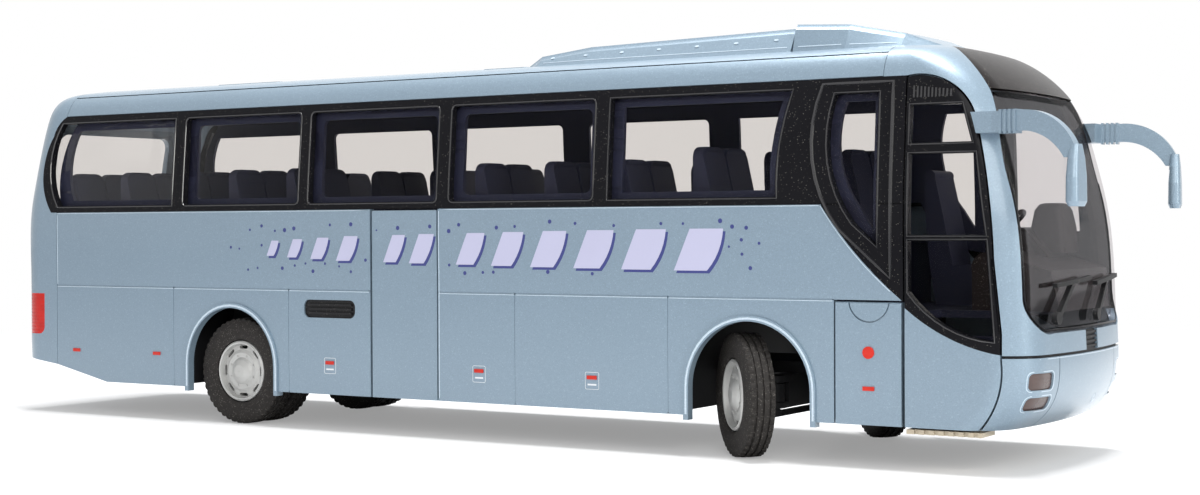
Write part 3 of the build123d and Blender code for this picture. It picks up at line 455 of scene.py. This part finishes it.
for name, wheel in FRONT_WHEELS.items():
    mesh = bmesh.new()
    tyre_mesh(mesh, wheel)
    tyre = piece(f"treaded_tyre_{name}", mesh, tyre_rubber, f"front_wheel_{name}", 30)
    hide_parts(f"front_tyre_{name}")
mesh = bmesh.new()
for wheel in rear_wheels:
    tyre_mesh(mesh, wheel)
rear = piece("treaded_tyres_rear", mesh, tyre_rubber, "rear_axle", 30)
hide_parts("rear_tyres")
print("points across each tyre:", len(tyre_section()), "steps round it:", TREAD_STEPS)


# %% [markdown]
# The wheels are held by a ring of nuts. They are only raised dots here, but the light on them tells the
# eye how large the wheel is. Six-sided prisms are enough, set on the disc of each wheel that shows: both
# front ones, and the outer one of each rear pair.

# %% Wheel nuts
NUT_RING = 3.8
NUTS = 8
NUT_SEAT = 2.05
NUT_R = 0.27
NUT_RISE = 0.3
NUT_SMOOTH = 20


def nuts(mesh, wheel):
    for count in range(NUTS):
        turn = 2 * math.pi * (count + 0.5) / NUTS
        outline = ring(NUT_R, 6, (NUT_RING * math.cos(turn), NUT_RING * math.sin(turn)))
        low = [mesh.verts.new(wheel(u, NUT_SEAT, v)) for u, v in outline]
        high = [mesh.verts.new(wheel(u, NUT_SEAT + NUT_RISE, v)) for u, v in outline]
        capped(mesh, low, high)


for name, wheel in FRONT_WHEELS.items():
    mesh = bmesh.new()
    nuts(mesh, wheel)
    piece(f"wheel_nuts_{name}", mesh, rim_silver, f"front_wheel_{name}", NUT_SMOOTH)
# The second wheel of each rear pair is the outer one.
outer_wheels = rear_wheels[1::2]
mesh = bmesh.new()
for wheel in outer_wheels:
    nuts(mesh, wheel)
piece("wheel_nuts_rear", mesh, rim_silver, "rear_axle", NUT_SMOOTH)
print("wheel nuts:", NUTS * (len(FRONT_WHEELS) + len(outer_wheels)))


# %% [markdown]
# The rest of our pieces lie on the body's skin: rubber round the windows, bright edges where the paint
# catches the light, labels and the coloured design. The skin is curved, so each point is found by
# shooting a ray at the frame's own faces, from a side or from the front. A bead is then a low ridge
# along a row of such points, and a patch is a thin flat piece that follows the skin.

# %% Points on the skin
SKIN_NODES = [name for name in NODES if name.startswith((
    "side_panel", "window_band", "mid_door", "service_flap", "entry_door_frame", "entry_door_panel",
    "front_mask", "front_bumper", "rear_cap", "windscreen", "roof_panel", "tail_lamps", "front_lamps",
    "air_conditioner"))]
points, faces = [], []
for name in SKIN_NODES:
    start = len(points)
    data = NODES[name].data
    points.extend(v.co / MM for v in data.vertices)
    faces.extend(tuple(start + i for i in polygon.vertices) for polygon in data.polygons)
skin_tree = BVHTree.FromPolygons(points, faces)
# Each view gives a ray's start, from two numbers that say where it aims, and the ray's direction.
VIEWS = {
    "door side": (lambda a, z: Vector((a, -100, z)), Vector((0, 1, 0))),
    "far side": (lambda a, z: Vector((a, 100, z)), Vector((0, -1, 0))),
    "front": (lambda a, z: Vector((300, a, z)), Vector((-1, 0, 0))),
}
BOTH_SIDES = ("door side", "far side")


def on_skin(view, a, z):
    """The point of the skin that a ray from this side meets, with its normal."""
    start, way = VIEWS[view]
    place, normal, face, distance = skin_tree.ray_cast(start(a, z), way)
    if normal.dot(way) > 0:
        normal = -normal
    return place, normal


def arc(a, middle, b, steps=8):
    """Points on the circle through three points, without the last."""
    (x1, y1), (x2, y2), (x3, y3) = a, middle, b
    d = 2 * (x1 * (y2 - y3) + x2 * (y3 - y1) + x3 * (y1 - y2))
    s1, s2, s3 = x1 * x1 + y1 * y1, x2 * x2 + y2 * y2, x3 * x3 + y3 * y3
    cx = (s1 * (y2 - y3) + s2 * (y3 - y1) + s3 * (y1 - y2)) / d
    cy = (s1 * (x3 - x2) + s2 * (x1 - x3) + s3 * (x2 - x1)) / d
    t1, t2, t3 = (math.atan2(y - cy, x - cx) for x, y in (a, middle, b))
    turn = (t3 - t1) % (2 * math.pi)
    if (t2 - t1) % (2 * math.pi) > turn:
        turn -= 2 * math.pi
    radius = math.hypot(x1 - cx, y1 - cy)
    return [(cx + radius * math.cos(t1 + turn * i / steps), cy + radius * math.sin(t1 + turn * i / steps))
            for i in range(steps)]


def split(outline, step, closed=True):
    """The outline with extra points, so that long edges can follow the skin."""
    rows = []
    ends = outline[1:] + outline[:1] if closed else outline[1:]
    for (x0, y0), (x1, y1) in zip(outline, ends):
        count = max(1, round(math.hypot(x1 - x0, y1 - y0) / step))
        rows.extend((x0 + (x1 - x0) * i / count, y0 + (y1 - y0) * i / count) for i in range(count))
    return rows if closed else rows + [outline[-1]]


def box_outline(x0, x1, z0, z1, r=0.8):
    """A rectangle with round corners."""
    outline = []
    for cx, cz, start in ((x1 - r, z1 - r, 0), (x0 + r, z1 - r, 90), (x0 + r, z0 + r, 180),
                          (x1 - r, z0 + r, 270)):
        for step in range(4):
            turn = math.radians(start + step * 30)
            outline.append((cx + r * math.cos(turn), cz + r * math.sin(turn)))
    return outline


# The bead's section: place across it and up from the skin, as parts of its width and height.
BEAD_SECTION = ((-0.5, -0.6), (-0.25, 1.0), (0.25, 1.0), (0.5, -0.6))


def bead(mesh, view, outline, width, height, closed=True):
    """A low ridge on the skin along an outline."""
    path = [on_skin(view, a, z) for a, z in split(outline, 3.0, closed)]
    count = len(path)
    rows = []
    for i, (place, normal) in enumerate(path):
        before = path[(i - 1) % count if closed else max(i - 1, 0)][0]
        after = path[(i + 1) % count if closed else min(i + 1, count - 1)][0]
        side = (after - before).normalized().cross(normal)
        rows.append([mesh.verts.new(place + side * (width * across) + normal * (height * up))
                     for across, up in BEAD_SECTION])
    for i in range(count if closed else count - 1):
        walls(mesh, rows[i], rows[(i + 1) % count])
    if not closed:
        mesh.faces.new(rows[0][::-1])
        mesh.faces.new(rows[-1])


def patch(mesh, view, outline, thick=0.05, step=2.0):
    """A thin flat piece on the skin, with the given outline, that starts a little below it."""
    low, high = [], []
    for a, z in split(outline, step):
        place, normal = on_skin(view, a, z)
        low.append(mesh.verts.new(place - normal * 0.05))
        high.append(mesh.verts.new(place + normal * thick))
    capped(mesh, low, high)


print("faces to aim at:", len(faces))

# %% [markdown]
# Each window of the real coach sits in a rubber frame, and on the model that is a soft step in the
# black band. Its rounded edge is what makes the thin bright lines round the glass, so we lay a bead
# just outside each opening, on both sides. The entry door's own ride on the door, with a row of slats.

# %% Rubber round the windows
SILL_Z = 52.9
HEAD_Z = 74.6
MARGIN = 0.3
MIDDLE_WINDOWS = ((-83.4, -46.5), (-43.0, -5.7), (-1.8, 35.8))
WINDOW_OUTLINES = [
    [(-87.2, SILL_Z), (-87.2, HEAD_Z), (-127.6, HEAD_Z),
     *arc((-127.7, 74.3), (-131.3, 63.5), (-128.1, 53.0))[1:], (-128.0, SILL_Z)],
    *[box_outline(x0 - MARGIN, x1 + MARGIN, SILL_Z, HEAD_Z, 1.1) for x0, x1 in MIDDLE_WINDOWS],
    [(39.6, SILL_Z), (39.6, HEAD_Z), (82.7, HEAD_Z),
     *arc((82.7, 74.3), (80.0, 63.5), (79.7, 53.2))[1:], (79.7, SILL_Z)],
    [(101.5, 43.1), (101.5, 73.5), (91.7, 73.5),
     *arc((91.7, 73.2), (90.5, 60.5), (96.1, 47.6))[1:], (96.1, 47.6)],
]
QUARTER_OUTLINE = [(104.2, 37.2), (104.2, 75.3), (89.2, 75.3),
                   *arc((89.2, 75.2), (87.3, 60.5), (93.4, 46.6))[1:], (93.4, 46.6)]
DOOR_OUTLINES = [
    [(107.7, 62.9), (107.7, 70.7), (118.4, 70.7), (120.8, 62.9)],
    [(107.7, 45.3), (107.7, 61.3), (121.4, 61.3), (123.7, 45.3)],
    [(107.7, 34.4), (107.7, 44.7), (123.8, 44.7), (125.2, 25.3),
     *arc((125.2, 25.3), (114.9, 28.2), (107.7, 34.4))[1:]],
]
RUBBER_WIDTH, RUBBER_RISE = 0.45, 0.14
QUARTER_WIDTH, QUARTER_RISE = 0.9, 0.3
for view in BOTH_SIDES:
    mesh = bmesh.new()
    for outline in WINDOW_OUTLINES:
        bead(mesh, view, outline, RUBBER_WIDTH, RUBBER_RISE)
    bead(mesh, view, QUARTER_OUTLINE, QUARTER_WIDTH, QUARTER_RISE)
    piece("window_rubber_" + view.split()[0], mesh, edge_black, "coach")
mesh = bmesh.new()
for outline in DOOR_OUTLINES:
    bead(mesh, "door side", outline, RUBBER_WIDTH, RUBBER_RISE)
piece("door_window_rubber", mesh, edge_black, "entry_door")

SLATS = 11
SLAT_START, SLAT_PITCH, SLAT_WIDTH = 108.4, 0.75, 0.35
SLAT_FOOT, SLAT_HEAD, SLAT_FALL = 71.9, 74.2, 0.09
mesh = bmesh.new()
for step in range(SLATS):
    x = SLAT_START + step * SLAT_PITCH
    head = SLAT_HEAD - step * SLAT_FALL
    outline = [(x, SLAT_FOOT), (x + SLAT_WIDTH, SLAT_FOOT), (x + SLAT_WIDTH, head), (x, head)]
    patch(mesh, "door side", outline, 0.14)
piece("door_air_slats", mesh, edge_black, "entry_door", 0)
print("window outlines:", len(WINDOW_OUTLINES) + 1, "on each side,", len(DOOR_OUTLINES), "on the door")

# %% [markdown]
# Every edge of the panels catches a fine line of light: under the window band, along the trim line, round
# the arches and by the doors. We paint these highlights as very low beads in a paler paint, finer than any
# edge of the frame.

# %% Painted highlights on the panel edges
# A paler paint for painted highlights on edges and rims, also used for a few small pale parts.
painted_highlight_and_pale_paint = metallic_paint("painted_highlight_and_pale_paint", (0.43, 0.52, 0.60), 0.1)
EDGE_WIDTH, EDGE_RISE = 0.2, 0.035
BELT_Z = 51.35
TRIM_Z = 32.6
TRIM_SPANS = ((-128.2, -86.9), (-86.5, -49.4), (-49.0, -24.9), (-4.8, 15.7), (16.1, 54.3), (54.7, 91.9))
EDGE_LINES = [
    [(-128.2, BELT_Z), (89.0, BELT_Z)],
    arc((89.3, 51.3), (96.9, 41.5), (106.0, 33.1), 10),
    *[[(start, TRIM_Z), (end, TRIM_Z)] for start, end in TRIM_SPANS],
    [(-128.1, 33.2), (-128.1, 50.9)],
    [(-4.75, 9.2), (-4.75, 51.0)],
]
ARCH_XS = (-67.75, 73.25)
ARCH_Z = 14.35
ARCH_LIP_R = 14.45
ARCH_STEPS = 24
ARCH_FOOT = 8.8
LIP_WIDTH, LIP_RISE = 0.55, 0.06
# The edge lines and the arch lips are painted highlights.
for view in BOTH_SIDES:
    mesh = bmesh.new()
    for line in EDGE_LINES:
        bead(mesh, view, line, EDGE_WIDTH, EDGE_RISE, False)
    for arch_x in ARCH_XS:
        turns = [math.pi * i / ARCH_STEPS for i in range(ARCH_STEPS + 1)]
        sweep = [(arch_x + ARCH_LIP_R * math.cos(t), ARCH_Z + ARCH_LIP_R * math.sin(t)) for t in turns]
        outline = [(sweep[0][0], ARCH_FOOT), *sweep, (sweep[-1][0], ARCH_FOOT)]
        bead(mesh, view, outline, LIP_WIDTH, LIP_RISE, False)
    piece("bright_edges_" + view.split()[0], mesh, painted_highlight_and_pale_paint, "coach")
print("edge lines on each side:", len(EDGE_LINES), "arches:", len(ARCH_XS))

# %% [markdown]
# The side carries a printed design in pale lilac and navy: slanted bars that grow towards the front,
# each with a navy shadow, and a scatter of small navy dots. The paint of a print has a real thickness,
# which we keep, a few hundredths of a millimetre. The bars on the middle door are a piece of their own,
# because they must swing with it. The dots come from a seeded random generator, so they are the same
# each time, and a dot is only kept clear of the bars, the door's gaps and the other dots.

# %% Side design
print_lilac = plastic("print_lilac", (0.40, 0.40, 0.54), 0.4, 0.4, 0.05, 0.06)
print_navy = plastic("print_navy", (0.022, 0.030, 0.155), 0.4, 0.4, 0.05, 0.1)
SLANT = math.tan(math.radians(24))
SHADOW = 0.55
# Each bar: where its foot starts, its width and its height.
BARS = [(-56.0, 2.2, 3.6), (-49.6, 2.8, 4.3), (-42.4, 3.4, 5.0), (-34.6, 4.0, 5.7),
        (-20.6, 3.6, 6.2), (-13.2, 4.2, 6.6), (0.0, 4.8, 7.0), (9.6, 5.4, 7.4),
        (20.0, 6.0, 7.8), (31.2, 6.6, 8.1), (43.2, 7.2, 8.4), (56.0, 7.8, 8.6)]
BAR_MIDDLE_Z = 42.6
DOOR_SPAN = (-24.0, -5.4)
DOOR_GAPS = (-24.5, -5.0)
DOTS = 46
DOT_X, DOT_Z, DOT_R = (-68, 76), (37.2, 48.6), (0.22, 0.5)
# How far a dot's middle stays from a bar, along and up, from a gap and from another dot.
BAR_CLEAR_X, BAR_CLEAR_Z, GAP_CLEAR, DOT_CLEAR = 1.2, 0.9, 1.3, 2.6


def bar_outline(x, width, height, shift=0.0):
    """A slanted bar with a bowed front; the shift moves it forwards and down, for its shadow."""
    lean = height * SLANT
    bow = width * 0.12
    low, high = BAR_MIDDLE_Z - height / 2, BAR_MIDDLE_Z + height / 2
    foot_back = (x + shift, low - shift)
    foot_front = (x + width + shift, low - shift)
    bowed = (x + width + lean / 2 + bow + shift, BAR_MIDDLE_Z - shift)
    head_front = (x + width + lean + shift, high - shift)
    head_back = (x + lean + shift, high - shift)
    return [foot_back, foot_front, *arc(foot_front, bowed, head_front, 6)[1:], head_front, head_back]


def in_door(a):
    return DOOR_SPAN[0] < a < DOOR_SPAN[1]


def near_bar(a, z, x, width, height):
    """Whether a point lies on a bar or too close to it."""
    along = x - BAR_CLEAR_X < a < x + width + height * SLANT + BAR_CLEAR_X
    return along and abs(z - BAR_MIDDLE_Z) < height / 2 + BAR_CLEAR_Z


random.seed(7)
dots = []
while len(dots) < DOTS:
    a, z, r = random.uniform(*DOT_X), random.uniform(*DOT_Z), random.uniform(*DOT_R)
    clear_bars = not any(near_bar(a, z, *bar) for bar in BARS)
    clear_gaps = all(abs(a - gap) > GAP_CLEAR for gap in DOOR_GAPS)
    clear_dots = all(math.hypot(a - b, z - y) > DOT_CLEAR for b, y, _ in dots)
    if clear_bars and clear_gaps and clear_dots:
        dots.append((a, z, r))

for body, wanted in (("coach", False), ("middle_door", True)):
    shadow, face, spots = bmesh.new(), bmesh.new(), bmesh.new()
    for x, width, height in BARS:
        if in_door(x) == wanted:
            patch(shadow, "door side", bar_outline(x, width, height, SHADOW), 0.02)
            patch(face, "door side", bar_outline(x, width, height), 0.045)
    for a, z, r in dots:
        if in_door(a) == wanted:
            patch(spots, "door side", ring(r, 14, (a, z)), 0.03, 9.0)
    piece(f"design_shadow_{body}", shadow, print_navy, body, 0)
    piece(f"design_bars_{body}", face, print_lilac, body, 0)
    piece(f"design_dots_{body}", spots, print_navy, body, 0)
print("bars:", len(BARS), "dots:", len(dots))

# %% [markdown]
# Three small labels sit low on the door side: a thin white outline round a red marker of the frame, with
# a white bar under it. They are blank. A last few marks finish the front: a round cover for the towing
# eye in the bumper, pale rims round the smoked lamps and a bright line along the bumper's top, both
# painted highlights, and a dark seal round the foot and sides of the windscreen.

# %% Labels and front marks
print_white = plastic("print_white", (0.62, 0.64, 0.67), 0.45, 0.4, 0.05, 0.05)
LABELS = ((-36.6, 15.6), (6.2, 15.3), (35.8, 15.0))
mesh = bmesh.new()
for x, z in LABELS:
    bead(mesh, "door side", box_outline(x - 1.7, x + 1.7, z - 2.1, z + 1.5, 0.3), 0.12, 0.03)
    bar = [(x - 1.1, z - 1.3), (x + 1.1, z - 1.3), (x + 1.1, z - 0.95), (x - 1.1, z - 0.95)]
    patch(mesh, "door side", bar, 0.03)
piece("blank_labels", mesh, print_white, "coach", 0)

# Each lamp: its outer and inner edge from the middle of the nose, its foot and its head.
LAMPS = ((-26.5, -18.8, 16.0, 19.8), (-26.3, -18.2, 12.1, 15.2))
BUMPER_TOP = [(-24.0, 22.1), (24.0, 22.1)]
# The lamp rims and the line along the bumper's top are painted highlights.
mesh = bmesh.new()
for side in (-1, 1):
    for outer, inner, foot, head in LAMPS:
        low, high = sorted((side * outer, side * inner))
        bead(mesh, "front", box_outline(low, high, foot, head, 1.0), 0.22, 0.05)
bead(mesh, "front", ring(1.0, 20, (6.5, 12.6)), 0.16, 0.04)
bead(mesh, "front", BUMPER_TOP, EDGE_WIDTH, EDGE_RISE, False)
piece("front_rims_and_cover", mesh, painted_highlight_and_pale_paint, "coach")

half_seal = [(-26.3, 56.0), (-26.3, 33.6), *arc((-26.3, 33.6), (-24.4, 29.1), (-18.6, 27.4), 6)[1:],
             (-18.6, 27.4)]
seal = half_seal + [(-a, z) for a, z in reversed(half_seal)]
mesh = bmesh.new()
bead(mesh, "front", seal, 0.5, 0.1, False)
piece("windscreen_seal", mesh, band_black, "coach")
print("labels:", len(LABELS), "lamp rims:", 2 * len(LAMPS), "points on the seal:", len(seal))

# %% [markdown]
# The seams between the fixed panels were cast as grooves and then filled by the paint, so they show only
# as faint lines, unlike the gaps round the doors. A strip of paint in each groove, a tenth of a
# millimetre below the surface, does the same. The roof unit has a painted highlight along its foot and a
# row of small screws.

# %% Filled seams and the roof unit
# How far the paint rises from the floor of a groove.
FILL = 0.37
SEAM_XS = (-86.7, -49.2, 15.9, 54.5)
SEAM_HALF = 0.1
SEAM_FOOT, SEAM_HEAD = 9.0, 32.6
TRIM_SEAMS = ((-128.1, -86.9), (-86.5, -49.4), (-49.0, -24.9), (-4.6, 15.7), (16.1, 54.3), (54.7, 91.8))
TRIM_SEAM_Z = (32.8, 33.0)


def strip(x0, x1, z0, z1):
    return [(x0, z0), (x1, z0), (x1, z1), (x0, z1)]


for view in BOTH_SIDES:
    mesh = bmesh.new()
    for x in SEAM_XS:
        patch(mesh, view, strip(x - SEAM_HALF, x + SEAM_HALF, SEAM_FOOT, SEAM_HEAD), FILL, 30.0)
    for start, end in TRIM_SEAMS:
        patch(mesh, view, strip(start, end, *TRIM_SEAM_Z), FILL, 50.0)
    piece("filled_seams_" + view.split()[0], mesh, coach_paint, "coach", 0)

FOOT_Z = 84.1
FOOT_SPANS = ((11.0, 76.0), (78.5, 99.0))
SCREWS = 7
SCREW_START, SCREW_PITCH = (16.0, 85.1), (9.5, 0.12)
SCREW_HALF_X, SCREW_HALF_Z = 0.55, 0.22
# The bead along the roof unit's foot is a painted highlight; the screws are pale paint.
mesh = bmesh.new()
screws = bmesh.new()
for view in BOTH_SIDES:
    for start, end in FOOT_SPANS:
        bead(mesh, view, [(start, FOOT_Z), (end, FOOT_Z)], 0.3, 0.06, False)
    for step in range(SCREWS):
        x = SCREW_START[0] + step * SCREW_PITCH[0]
        z = SCREW_START[1] + step * SCREW_PITCH[1]
        oval = [(x + SCREW_HALF_X * math.cos(t), z + SCREW_HALF_Z * math.sin(t))
                for t in (math.pi * i / 5 for i in range(10))]
        patch(screws, view, oval, 0.12, 9.0)
piece("roof_unit_foot", mesh, painted_highlight_and_pale_paint, "coach")
piece("roof_unit_screws", screws, painted_highlight_and_pale_paint, "coach", 0)
print("filled seams on each side:", len(SEAM_XS) + len(TRIM_SEAMS), "screws on each side:", SCREWS)

# %% [markdown]
# Seen through the windscreen, the inside of the front posts lies in shade, so a dark lining stands there as
# painted shade, and a hood stands over the driver's instruments. The post lining is made from the mask's
# own inner faces: each is copied just off the mask and again a tenth of a millimetre further in, and walls
# close the border between the two layers, so it fits the curve exactly. The hood is a loft of rounded
# rings.

# %% Post lining of painted shade and instrument hood
CABIN_X = 95.0
LINING_FOOT, LINING_HEAD = 30.0, 74.0
LINING_LAYERS = (0.03, 0.13)
INWARD = 0.35


def towards_cabin(place):
    """The level direction from a point to the middle of the cabin."""
    return (Vector((CABIN_X, 0.0, place.z)) - place).normalized()


# The lining is painted shade: a dark sheet where the inside of the posts lies in shade.
mesh = bmesh.new()
mask = NODES["front_mask"].data
layers = {}
for polygon in mask.polygons:
    centre = polygon.center / MM
    if polygon.normal.dot(towards_cabin(centre)) > INWARD and LINING_FOOT < centre.z < LINING_HEAD:
        for i in polygon.vertices:
            if i not in layers:
                place = mask.vertices[i].co / MM
                layers[i] = [mesh.verts.new(place + towards_cabin(place) * off) for off in LINING_LAYERS]
        mesh.faces.new([layers[i][0] for i in polygon.vertices][::-1])
        mesh.faces.new([layers[i][1] for i in polygon.vertices])
inner_of = {outer: inner for outer, inner in layers.values()}
border = [edge for edge in mesh.edges
          if len(edge.link_faces) == 1 and all(vertex in inner_of for vertex in edge.verts)]
for edge in border:
    a, b = edge.verts
    mesh.faces.new((a, b, inner_of[b], inner_of[a]))
bmesh.ops.recalc_face_normals(mesh, faces=mesh.faces)
piece("painted_shade_post_lining", mesh, dash_plastic, "coach")

# Each ring of the hood: from and to in x, from and to in y, its height, and its corner radius.
HOOD_RINGS = (
    (116.8, 124.2, 12.4, 22.4, 41.5, 1.2),
    (116.9, 124.0, 12.4, 22.4, 46.8, 1.2),
    (117.4, 123.2, 13.0, 22.2, 50.4, 1.4),
    (118.0, 122.6, 14.0, 21.8, 51.6, 1.6),
    (118.9, 121.6, 15.4, 20.8, 51.9, 1.0),
)
mesh = bmesh.new()
rows = [[mesh.verts.new((x, y, z)) for x, y in box_outline(x0, x1, y0, y1, r)]
        for x0, x1, y0, y1, z, r in HOOD_RINGS]
for row, after in zip(rows, rows[1:]):
    walls(mesh, row, after)
mesh.faces.new(rows[0][::-1])
mesh.faces.new(rows[-1])
piece("instrument_hood", mesh, dash_plastic, "coach", 40)
print("border edges closed on the lining:", len(border), "rings in the hood:", len(HOOD_RINGS))

# %% [markdown]
# The coach stands on a plain pale table. Near the coach the table is mostly an ordinary matt white that
# takes its shadow, and further out what the camera sees of it glows more and more, until it is as white
# as the wall behind it. Only camera rays see the glow, so it throws no light on the paint.

# %% Floor
FLOOR_SIZE = 6.0
FLOOR_GLOW = 0.3
FLOOR_NEAR, FLOOR_FAR = 0.24, 0.5
half = FLOOR_SIZE / 2
corners = [(-half, -half, 0), (half, -half, 0), (half, half, 0), (-half, half, 0)]
floor_data = bpy.data.meshes.new("table_top")
floor_data.from_pydata(corners, [], [(0, 1, 2, 3)])
table_top = bpy.data.objects.new("table_top", floor_data)
SCENE.collection.objects.link(table_top)
ground = Finish("table_white")
tone = ground.noise(60.0, 2.0)
ground.set(Base_Color=tone.blend((0.80, 0.80, 0.81), (0.84, 0.84, 0.84)), Roughness=0.9,
           Specular_IOR_Level=0.1)
glow = ground.node("ShaderNodeEmission", None, {"Color": (1.0, 1.0, 1.0), "Strength": 1.0})
to_camera = ground.node("ShaderNodeLightPath", out="Is Camera Ray")
away = ground.node("ShaderNodeVectorMath", {"operation": "LENGTH"}, {0: ground.place()}, out="Value")
far = ground.node("ShaderNodeMapRange", {"interpolation_type": "SMOOTHSTEP"}, {
    "Value": away, "From Min": FLOOR_NEAR, "From Max": FLOOR_FAR, "To Min": FLOOR_GLOW, "To Max": 1.0})
wall_share = ground.node("ShaderNodeMixShader", None, {
    0: to_camera * far, 1: Sig(ground, ground.shader.outputs[0]), 2: glow})
ground.tree.links.new(wall_share.socket, ground.surface)
floor_data.materials.append(ground.material)
print("table, in metres:", FLOOR_SIZE)

# %% [markdown]
# The wall is the world itself. Camera rays, and rays that pass through or glance off glass, see white,
# while every other ray sees a softer, slightly blue light, so the lighting on the paint stays gentle.

# %% World
world = bpy.data.worlds.new("studio")
SCENE.world = world
world.use_nodes = True
tree = world.node_tree
tree.nodes.clear()


def background(colour, strength):
    made = tree.nodes.new("ShaderNodeBackground")
    made.inputs["Color"].default_value = (*colour, 1.0)
    made.inputs["Strength"].default_value = strength
    return made.outputs[0]


output = tree.nodes.new("ShaderNodeOutputWorld")
seen = background((1.0, 1.0, 1.0), 1.0)
soft = background((0.93, 0.96, 1.0), 0.4)
path = tree.nodes.new("ShaderNodeLightPath")
sees_white = path.outputs["Is Camera Ray"]
for ray in ("Is Transmission Ray", "Is Glossy Ray"):
    either = tree.nodes.new("ShaderNodeMath")
    either.operation = "MAXIMUM"
    tree.links.new(sees_white, either.inputs[0])
    tree.links.new(path.outputs[ray], either.inputs[1])
    sees_white = either.outputs[0]
choose = tree.nodes.new("ShaderNodeMixShader")
tree.links.new(sees_white, choose.inputs[0])
tree.links.new(soft, choose.inputs[1])
tree.links.new(seen, choose.inputs[2])
tree.links.new(choose.outputs[0], output.inputs["Surface"])
print("world nodes:", len(tree.nodes))


# %% [markdown]
# A long soft lamp hangs above the coach, along its length, and gives the roof its bright edge and the
# table its shadow. Two weaker ones fill in from the door side and from the nose, so that the paint
# towards us isn't left in the shade.

# %% Lamps
def lamp(name, place, target, size, power, colour=(1, 1, 1)):
    """A soft rectangular lamp at a place, aimed at a target."""
    data = bpy.data.lights.new(name, "AREA")
    data.shape = "RECTANGLE"
    data.size, data.size_y = size
    data.energy = power
    data.color = colour
    made = bpy.data.objects.new(name, data)
    SCENE.collection.objects.link(made)
    made.location = place
    made.rotation_euler = (Vector(target) - Vector(place)).to_track_quat("-Z", "Y").to_euler()


lamp("top_softbox", (0.02, 0.03, 0.8), (0, 0, 0.04), (0.6, 0.14), 12.0)
lamp("near_softbox", (0.45, -0.6, 0.36), (0.03, 0, 0.04), (0.5, 0.4), 2.7, (1.0, 0.99, 0.96))
lamp("nose_softbox", (0.8, -0.2, 0.3), (0.1, 0, 0.04), (0.2, 0.5), 2.8, (1.0, 1.0, 0.95))
print("lamps:", [light.name for light in bpy.data.lights])


# %% [markdown]
# The camera was a long lens close to the tabletop, to the right of the coach's nose and almost level. We
# place it by its position, the direction it looks, its slight roll and its lens.

# %% Camera
CAMERA_PLACE = Vector((253.82, -368.70, 47.45)) * MM
AZIMUTH = math.radians(32.48)
LOOK_DOWN = math.radians(0.637)
ROLL = math.radians(-0.25)
LENS = 57.07
SENSOR_WIDTH = 36.0
CLIP_START = 0.01
forward = Vector((-math.sin(AZIMUTH) * math.cos(LOOK_DOWN), math.cos(AZIMUTH) * math.cos(LOOK_DOWN),
                  -math.sin(LOOK_DOWN)))
right = forward.cross(Vector((0, 0, 1))).normalized()
up = right.cross(forward)
right_rolled = right * math.cos(ROLL) + up * math.sin(ROLL)
up_rolled = right_rolled.cross(forward)
camera_data = bpy.data.cameras.new("camera")
camera_data.lens = LENS
camera_data.sensor_width = SENSOR_WIDTH
camera_data.clip_start = CLIP_START
camera = bpy.data.objects.new("camera", camera_data)
SCENE.collection.objects.link(camera)
axes = Matrix((right_rolled, up_rolled, -forward)).transposed()
camera.matrix_world = Matrix.Translation(CAMERA_PLACE) @ axes.to_4x4()
SCENE.camera = camera
SCENE.view_settings.view_transform = "Standard"
print("camera, in millimetres:", [round(v / MM) for v in CAMERA_PLACE])
